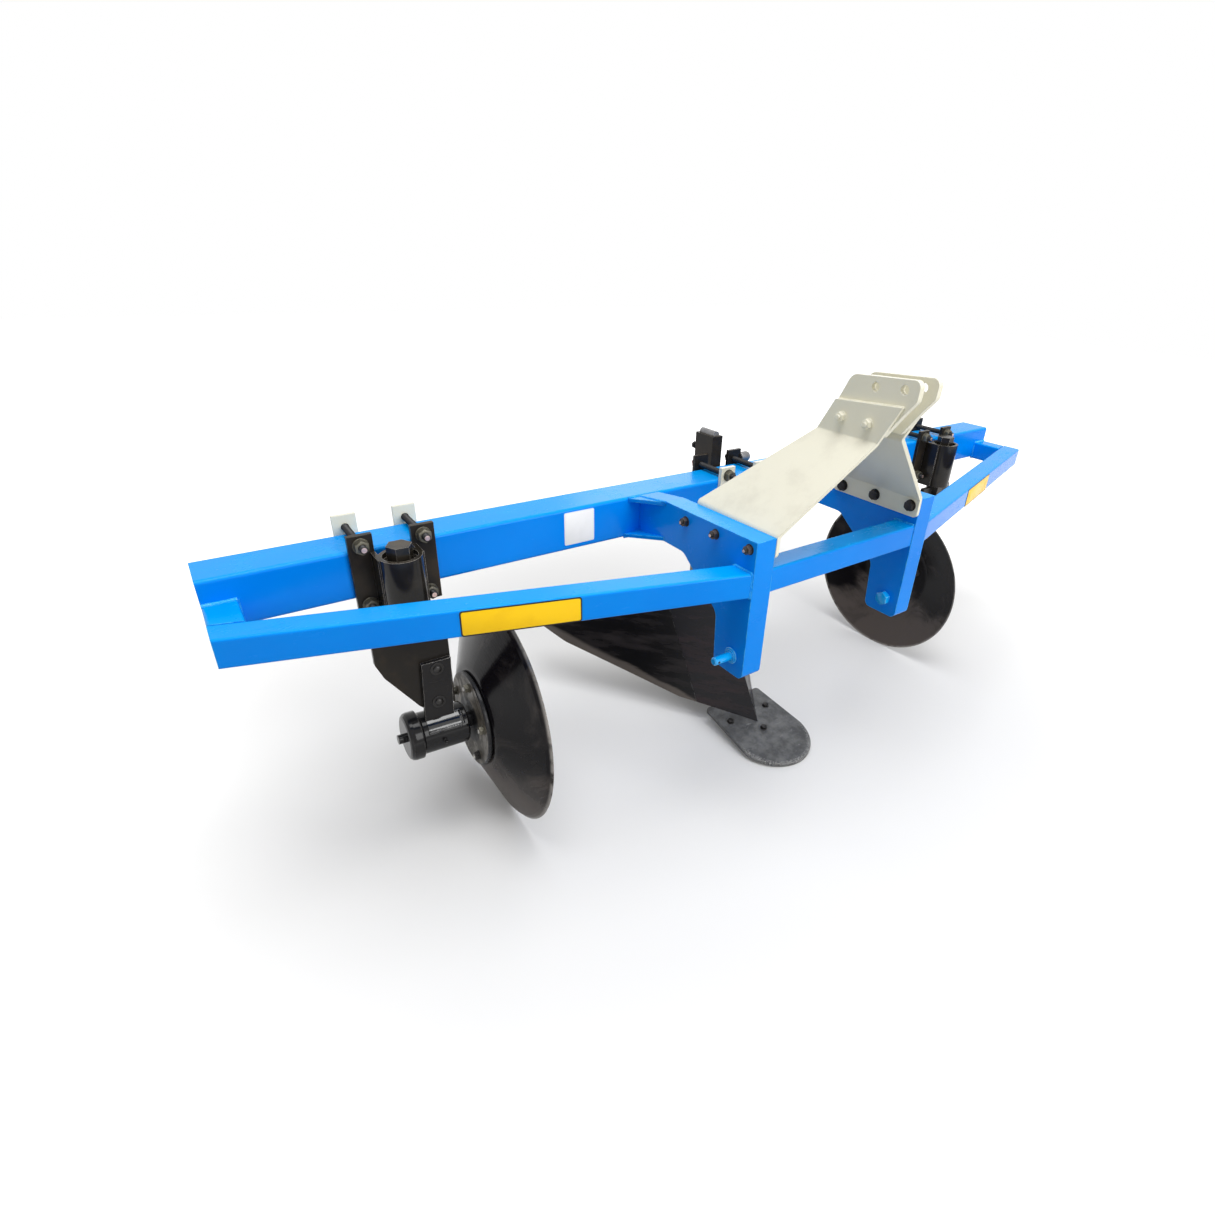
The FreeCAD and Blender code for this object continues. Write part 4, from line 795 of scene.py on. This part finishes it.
for hand, side in HANDS.items():
    welds = Piece("frame_welds_" + hand, "blue_paint", [blue, highlit_blue])
    tube, _ = corners_of("front_tube_" + hand)
    low, high, front = tube.z, tube.z + TUBE, tube.y
    member, gusset, end_tube = "side_member_" + hand, "corner_gussets_" + hand, "end_tube_" + hand
    outer = face_x(member, side) + side * MM
    inner = face_x(member, -side) - side * MM
    near, far = front + 3 * MM, front + CUT_FACE - 3 * MM
    bead(welds, [(outer, near, low), (outer, near, high), (outer, far, high), (outer, far, low)])
    bead(welds, [(inner, front + 2 * MM, high), (inner, front + TUBE, high),
                 (inner, front + TUBE, low)])
    # The weld atop each end tube takes the lighter azure: a painted glint.
    bead(welds, [(face_x(end_tube, way), beam_low.y, high) for way in (-1, 1)], 0.0046, 1)
    bead(welds, [(face_x(end_tube, -side), beam_low.y, z) for z in (low, high)])
    gusset_low, gusset_high = corners_of(gusset)
    tip, foot = face_x(gusset, side), gusset_low.z
    bead(welds, [(tip - side * 14 * MM, beam_low.y, CROWN), (outer, beam_low.y, CROWN),
                 (outer, gusset_low.y, gusset_high.z)])
    bead(welds, [(tip, beam_low.y, foot), (outer, beam_low.y, foot)])
    bead(welds, [(inner, beam_low.y, CROWN - 6 * MM), (inner, beam_low.y, foot)])
    welds.done()

# %% [markdown]
# Three bolts hold each cheek of the headstock to its side member, with nuts outside and heads
# inside.  Two more hold each thick ear to its cheek, with round heads inside, where the tractor's
# top link has to swing past.  The ear is also welded along the cheek's top edge, and that weld
# was ground nearly flat, so its bead is thin.

# %% Headstock bolts
THREAD, HEAD = 6.4 * MM, 8 * MM
CHEEK = 10 * MM
CHEEK_BOLTS = ((-208, -8), (-326, -2), (-447, 2))
EAR_BOLTS = ((-415, 272), (-494, 271))
EAR_WELD = ((-573, 322), (-390, 309))


def at_face(x, place, direction):
    """A frame on an upright face at x, level with a place given as (y, z) about the datum."""
    return facing((x, *spot(0, *place).yz), direction * X)


for hand, side in HANDS.items():
    outer = face_x("side_member_" + hand, side)
    flange = face_x("side_member_" + hand, -side) - side * CHEEK
    bolts = Piece("headstock_bolts_" + hand, "bare_steel", [dark_bolt, grimy_bolt, blush])
    for place in CHEEK_BOLTS:
        at = at_face(outer, place, side)
        tip = bolted(bolts, at, THREAD, 0.007, 1, 0, 0)
        bolts.turned(at, [(tip - 0.001, 0.0042), (tip + 0.0004, 0.0038), (tip + 0.0004, 0)], 18, 2)
        hex_head(bolts, at_face(flange, place, -side), HEAD)
    bolts.done()
    ear = "top_link_ear_" + hand
    bolts = Piece("ear_bolts_" + hand, "cream_paint", [cream, cream])
    for place in EAR_BOLTS:
        bolted(bolts, at_face(face_x(ear, side) + side * CHEEK, place, side), THREAD, 0.005)
        dome(bolts, at_face(face_x(ear, -side), place, -side), HEAD, 0.004)
    bolts.done()
for hand, side in HANDS.items():
    welds = Piece("ear_weld_" + hand, "cream_paint", [cream])
    cheek = face_x("top_link_ear_" + hand, side)
    bead(welds, [(cheek, *spot(0, *end).yz) for end in EAR_WELD], 0.0025)
    welds.done()

# %% [markdown]
# Each clamp squeezes the rear beam between two plates with four long rods.  In the packed model a
# rod is a smooth cylinder, so here a threaded one stands for it.  Nuts with washers close both
# ends, the rod's cut end shines inside its nut, and one nut of the middle clamp was painted red.

# %% Clamp rods and nuts
ROD = 9 * MM
ROD_CLEAR = 14 * MM
ROD_WASHER = 2.6 * MM


def rod_nut(piece, place, direction, finish=0):
    """A washer and a large nut round a rod."""
    at = facing(place, direction)
    washer(piece, at, 2 * ROD, ROD, ROD_WASHER)
    nut(piece, at @ Matrix.Translation((0, 0, ROD_WASHER)), 29 * MM, 15 * MM, ROD, finish)


for name in ("left", "centre", "right"):
    rods = Piece("threaded_rods_" + name, "bare_steel", [thread_steel])
    nuts = Piece("clamp_nuts_" + name, "bare_steel", [olive_nut, blush, red_nut])
    low, high = corners_of("clamp_rods_" + name)
    front = corners_of("clamp_plates_" + name)[0].y
    back = corners_of("back_plate_" + name)[1].y
    for x in (low.x + ROD, high.x - ROD):
        for z in (beam_high.z + ROD_CLEAR, beam_low.z - ROD_CLEAR):
            end = x, low.y, z
            threaded(rods, facing(end, Y), 0, high.y - low.y, ROD - 0.0002, 3 * MM, 0, 20)
            rod_nut(nuts, (x, front, z), -Y)
            nuts.turned(facing(end, -Y), [(0, 0.0062), (0.0005, 0.0058), (0.0005, 0)], 20, 1)
            red = name == "centre" and x < 0 and z > beam_high.z
            rod_nut(nuts, (x, back, z), Y, 2 if red else 0)
    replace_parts(rods.done(), "clamp_rods_" + name)
    nuts.done()

# %% [markdown]
# The upright sleeve that carries an arm is a pipe, welded to the clamp's front plates by a web on
# each side.  Two beads run down each web, one of them where it meets its plate.

# %% Sleeve welds
WEB = 4.5 * MM
SEAM_END = 7 * MM
for hand in HANDS:
    low, high = corners_of("sleeve_" + hand)
    plates = corners_of("clamp_plates_" + hand)[0].y
    welds = Piece("sleeve_welds_" + hand, "black_paint", [black])
    for x in (low.x + WEB, high.x - WEB):
        for y in (plates - 1 * MM, plates - 16 * MM):
            bead(welds, [(x, y, high.z - SEAM_END), (x, y, low.z + SEAM_END)], 0.0036)
    welds.done()

# %% [markdown]
# The arm hangs in the sleeve, and its hub leans and toes out with the disc.  The disc's joint
# gives the axle, and two directions square to it, upward and rearward, then place anything on
# the hub.

# %% Directions on a hub
def hub_axes(hand):
    """A hub's middle, and its directions inboard along the axle, upward and rearward."""
    joint = joints["disc_%s_spin" % hand]
    inboard = Vector(joint["axis"]).normalized()
    upward = (Z - inboard * inboard.z).normalized()
    rearward = upward.cross(inboard)
    if rearward.y < 0:
        rearward.negate()
    return Vector(joint["pos_m"]), inboard, upward, rearward


def on_housing(hub, along, angle, radius):
    """A place on the housing: along the axis, and round from its top towards the front."""
    centre, inboard, upward, rearward = hub
    turn = math.radians(angle)
    out = upward * math.cos(turn) - rearward * math.sin(turn)
    return centre + (inboard * along + out * radius) * MM


print("hub centre, left:", [round(value, 3) for value in hub_axes("left")[0]])

# %% [markdown]
# A flat strap is held on the arm's plate by two domed bolts and is welded to the bearing housing.
# The housing's cap has a seam, a nipple in front takes the grease, and a wrapped sheet, welded
# along its edges, stiffens the housing.

# %% Arm and hub fittings
STRAP_LEAN = 10
STRAP_BOLTS = (21, 116)
HOUSING = 53.5
SHEET = 56.5


def strap_bolts(fittings, hand, side):
    """Two bolts through the strap and the arm plate; the strap leans, so they step sideways."""
    strap = "hub_strap_" + hand
    low, high = corners_of(strap)
    rear = corners_of("arm_plate_" + hand)[1].y
    tall = (high.z - low.z) / MM
    for drop in STRAP_BOLTS:
        x = middle_of(strap).x - side * STRAP_LEAN * (0.5 - drop / tall) * MM
        z = high.z - drop * MM
        dome(fittings, facing((x, low.y + 0.9 * MM, z), -Y), 10.5 * MM, 0.007, 2)
        bolted(fittings, facing((x, rear - 0.9 * MM, z), Y), 7 * MM, 0.004)


def housing_fittings(fittings, hub):
    """Seam, grease nipple and the welded sheet on a bearing housing."""
    centre, inboard, _, rearward = hub
    fittings.turned(facing(centre - inboard * 19 * MM, inboard),
                    [(-0.004, 0.0605), (-0.0015, 0.0618), (0.0015, 0.0565), (0.004, 0.0545)], 40)
    nipple = facing(on_housing(hub, 31, 90, HOUSING), -rearward)
    nut(fittings, nipple, 0.011, 0.005)
    fittings.turned(nipple, [(0.005, 0.0035), (0.009, 0.003), (0.0105, 0.0042), (0.0135, 0.0038),
                             (0.015, 0.002), (0.015, 0)], 16)
    section = ((-4, HOUSING), (-4, SHEET), (82, SHEET), (82, HOUSING))
    fittings.skin([[on_housing(hub, along, angle, radius) for along, radius in section]
                   for angle in range(18, 61, 6)], 3)
    for angle, start, end, size in ((19, -2, 68, 0.0045), (60, -5, 78, 0.005)):
        bead(fittings, [on_housing(hub, start, angle, 55.5),
                        on_housing(hub, end, angle + 1, 55.5)], size, 3)
    bead(fittings, [on_housing(hub, 83, angle, 55) for angle in range(20, 62, 8)], 0.0048, 3)


for hand, side in HANDS.items():
    fittings = Piece("arm_fittings_" + hand, "black_paint", [black, zinc, dark_bolt, wet_black],
                     "arm_" + hand)
    strap_bolts(fittings, hand, side)
    housing_fittings(fittings, hub_axes(hand))
    fittings.done()

# %% [markdown]
# Five bolts hold a disc to its flange.  Their nuts sit on the flange, and inside the dish the
# round heads stand round a pressed centre plate.  They ride on the disc and turn with it.

# %% Hub bolts
HUB_BOLTS = 5
BOLT_CIRCLE = 99 * MM
FIRST_BOLT = math.radians(-2.5)
FLANGE_BACK, DISC_FACE = 116 * MM, 134 * MM
CENTRE_PLATE = [(0, 0.062), (0.003, 0.062), (0.0045, 0.0595), (0.0045, 0.034), (0.012, 0.03),
                (0.016, 0.022), (0.017, 0)]
for hand in HANDS:
    centre, inboard, upward, rearward = hub_axes(hand)
    bolts = Piece("hub_bolts_" + hand, "bare_steel", [dark_bolt, zinc, olive_nut], "disc_" + hand)
    for i in range(HUB_BOLTS):
        angle = FIRST_BOLT + i * math.tau / HUB_BOLTS
        place = centre + (upward * math.cos(angle) + rearward * math.sin(angle)) * BOLT_CIRCLE
        finish = 0 if i == 3 else 2
        bolted(bolts, facing(place + inboard * FLANGE_BACK, -inboard), 6.2 * MM, 0.003,
               finish, 1, finish)
        dome(bolts, facing(place + inboard * DISC_FACE, inboard), 11 * MM, 0.006, 0, 1.25)
    bolts.turned(facing(centre + inboard * DISC_FACE, inboard), CENTRE_PLATE, 40)
    bolts.done()

# %% [markdown]
# Three hexagon bolts hold the share: two beside the mouldboards and one ahead of the ridge.  The
# share slopes, so the bolts stand along its own upward direction.

# %% Share bolts
SHARE_SLOPE = math.radians(7.5)
SHARE_TOP = 12
SHARE_BOLTS = ((-84, 241), (78, 244), (-3, 166))
share_up = Vector((0, -math.sin(SHARE_SLOPE), math.cos(SHARE_SLOPE)))
share_along = share_up.cross(X)
bolts = Piece("share_bolts", "bare_steel", [dark_bolt])
for x, along in SHARE_BOLTS:
    place = Vector((0, share_low.y, 0)) + (X * x + share_along * along + share_up * SHARE_TOP) * MM
    hex_head(bolts, facing(place, share_up), 5.5 * MM)
bolts.done()

# %% [markdown]
# Behind the boards, two bolts join the frog to the shank, and a ring of weld holds each stay.
# This side is only seen from the back, but it carries the work.

# %% Shank bolts and stay welds
shank_y = middle_of("body_shank").y
fixings = Piece("frog_fixings", "black_paint", [black, zinc])
for drop in (-480, -620):
    z = spot(0, 0, drop).z
    hex_head(fixings, facing((face_x("frog", -1), shank_y, z), -X), 9 * MM)
    bolted(fixings, facing((face_x("body_shank", 1), shank_y, z), X), 9 * MM, 0.005, 1, 1, 1)
for hand, side in HANDS.items():
    stay = "wing_stay_" + hand
    middle = middle_of(stay)
    radius = corners_of(stay)[1].z - middle.z
    middle.x = face_x(stay, -side) + side * MM
    bead(fixings, [middle + (Y * math.cos(turn) + Z * math.sin(turn)) * radius
                   for turn in (i * math.tau / 20 for i in range(21))], 0.0038)
fixings.done()

# %% [markdown]
# Two set bolts in the socket's back wall grip the shank, each with its lock nut.  A short round
# bar end stands on the right-hand tab of the middle clamp.

# %% Middle clamp fittings
SET_BOLTS = (40, -70)
SET_BOLT_REACH = 22 * MM
socket, tab = "shank_socket", "back_plate_centre"
fittings = Piece("middle_clamp_fittings", "bare_steel", [dark_bolt, grey_bar])
for level in SET_BOLTS:
    at = facing((middle_of(socket).x, corners_of(socket)[1].y, spot(0, 0, level).z), Y)
    nut(fittings, at, 24 * MM, 10 * MM, 7 * MM)
    threaded(fittings, at, 2 * MM, SET_BOLT_REACH, 7 * MM, 2 * MM)
    nut(fittings, at @ Matrix.Translation((0, 0, SET_BOLT_REACH)), 20 * MM, 9 * MM)
pin = facing((face_x(tab, 1), middle_of(tab).y, beam_high.z + ROD_CLEAR), X)
fittings.turned(pin, [(0, 0.015), (0.003, 0.017), (0.03, 0.017), (0.036, 0.014), (0.036, 0)], 28, 1)
fittings.done()

# %% [markdown]
# The lower link pins pass through the legs.  A linch pin goes through a small hole near the tip; a
# dark disc on the pin paints the shade inside that hole.  A collar backs the pin on the outside of
# the leg, and a nut closes it on the inside.

# %% Hitch pin details
HOLE_FROM_TIP = 11 * MM
for hand, side in HANDS.items():
    member, pin = "side_member_" + hand, "hitch_pin_" + hand
    y, z = middle_of(pin).yz
    details = Piece("hitch_pin_nut_" + hand, "blue_paint", [highlit_blue, dark_bolt])
    nut(details, facing((face_x(member, -side), y, z), -side * X), 36 * MM, 19 * MM)
    washer(details, facing((face_x(member, side), y, z), side * X), 22 * MM, 10.5 * MM, 4 * MM)
    # A dark disc paints the shade inside the linch pin hole.
    hole = face_x(pin, side) - side * HOLE_FROM_TIP, y - 10.9 * MM, z
    details.turned(facing(hole, -Y), [(0, 0.0034), (0.0006, 0.003), (0.0006, 0)], 16, 1)
    details.done()

# %% [markdown]
# The machine's plates are blank here: two long yellow ones with a black border on the slanting
# tubes, and a white square on the beam.  A plate is a thin rounded sheet, and its border is a
# ring of faces in a second finish.

# %% Finishes of the plates
def plate_finish(name, colour, stain):
    """Printed sheet metal, a little stained."""
    cook = Recipe(name)
    patch = cook.ramp(cook.noise(18, 4, 0.6), 0.45, 0.75)
    return cook.finish(Base_Color=cook.mix(patch * 0.35, colour, stain),
                       Roughness=0.3 + patch * 0.2, Specular_IOR_Level=0.2,
                       Normal=cook.bump(cook.noise(60, 3), 0.0003, 0.5))


yellow = plate_finish("yellow_plate", (1.0, 0.62, 0.008), (0.85, 0.48, 0.01))
border = plate_finish("plate_border", 0.012, (0.05, 0.045, 0.04))
white = plate_finish("white_plate", (0.93, 0.93, 0.91), (0.8, 0.8, 0.78))
print("plate finishes:", yellow.name, border.name, white.name)


# %% Blank plates
def rounded_outline(width, height, radius, steps=5):
    """Points round a rectangle with rounded corners, anticlockwise from the right."""
    points = []
    for quarter, (sx, sy) in enumerate(((1, 1), (-1, 1), (-1, -1), (1, -1))):
        for i in range(steps + 1):
            angle = (quarter + i / steps) * math.pi / 2
            points.append((sx * (width / 2 - radius) + radius * math.cos(angle),
                           sy * (height / 2 - radius) + radius * math.sin(angle)))
    return points


def blank_plate(name, place, outward, width, height, thick, rim, panel, edge):
    """An upright thin sheet that looks outward, with a border ring round its panel."""
    sheet = Piece(name, "blue_paint", [panel, edge])
    turn = Matrix((Z.cross(outward), Z, outward)).transposed().to_4x4()
    at = Matrix.Translation(place) @ turn

    def ring(inset, level):
        return [at @ Vector((x, y, level)) for x, y in rounded_outline(
            width - 2 * inset, height - 2 * inset, 3 * MM + rim - inset * 0.5)]

    sheet.skin([ring(0, -0.0004), ring(0, thick), ring(rim, thick)], 1, capped=False)
    sheet.skin([ring(rim, thick), ring(rim + 0.0002, thick + 0.0001)])
    sheet.done()


PLATE_ALONG = 541 * MM
PLATE_LEVEL = slant_low.z + 32 * MM
for hand, side in HANDS.items():
    along = Vector((side, SLANT, 0)).normalized()
    outward = Vector((side * SLANT, -1, 0)).normalized()
    root = Vector((face_x("side_member_" + hand, side), slant_low.y, PLATE_LEVEL))
    place = root + along * PLATE_ALONG + outward * 0.0002
    blank_plate("yellow_plate_" + hand, place, outward, 0.258, 0.060, 0.0008, 0.003,
                yellow, border)
blank_plate("white_plate", spot(-538, -0.2, -55), -Y, 0.091, 0.091, 0.0006, 0.0015, white, white)

# %% [markdown]
# The floor has to look pale and yet keep the machine's soft shadow, so its material adds a glow
# that only camera and glossy rays see, and that grows with distance, where the lamps don't reach.
# The world does the same: white behind the machine and in its gloss, and a level, slightly warm
# light for everything else.

# %% Floor and world
FLOOR_HALF = 14.0
floor_mesh = bmesh.new()
bmesh.ops.create_grid(floor_mesh, x_segments=4, y_segments=4, size=FLOOR_HALF)
floor_data = bpy.data.meshes.new("studio_floor")
floor_mesh.to_mesh(floor_data)
floor_mesh.free()
floor = added("studio_floor", floor_data, Matrix.Translation((0, 0, cad_low[2] - 0.0005)))
floor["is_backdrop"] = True

cook = Recipe("studio_floor")
seen = cook.seen()
glow = cook.mix(cook.ramp(cook.length(cook.place), 0.9, 3.4), 0.06, 0.95)
floor_data.materials.append(cook.finish(
    Base_Color=cook.mix(seen, 0.42, 0.76), Roughness=0.9, Specular_IOR_Level=0.0,
    Emission_Color=cook.mix(seen, 0.0, glow), Emission_Strength=1.0))
sky = Recipe("studio", bpy.data.worlds, "Background")
sky.finish(Color=(1.0, 0.99, 0.97), Strength=0.46)
backdrop = sky.node("Background", {}, {"Color": 1.0, "Strength": 1.0})
level = Field(sky, sky.shader.outputs[0])
blend = sky.node("MixShader", {}, {0: sky.seen(), 1: level, 2: backdrop})
sky.feed(sky.tree.nodes["World Output"].inputs["Surface"], blend)
bpy.context.scene.world = sky.material
bpy.context.scene.view_settings.view_transform = "Standard"
print("floor at", round(floor.location.z, 4))

# %% [markdown]
# Last, the box of the dressed machine is printed beside the packed one's from the start, so that a
# piece outside the machine's real size is noticed at once.

# %% Sizes and finish
low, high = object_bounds()
print("dressed box, metres:", [round(b - a, 3) for a, b in zip(low, high)])
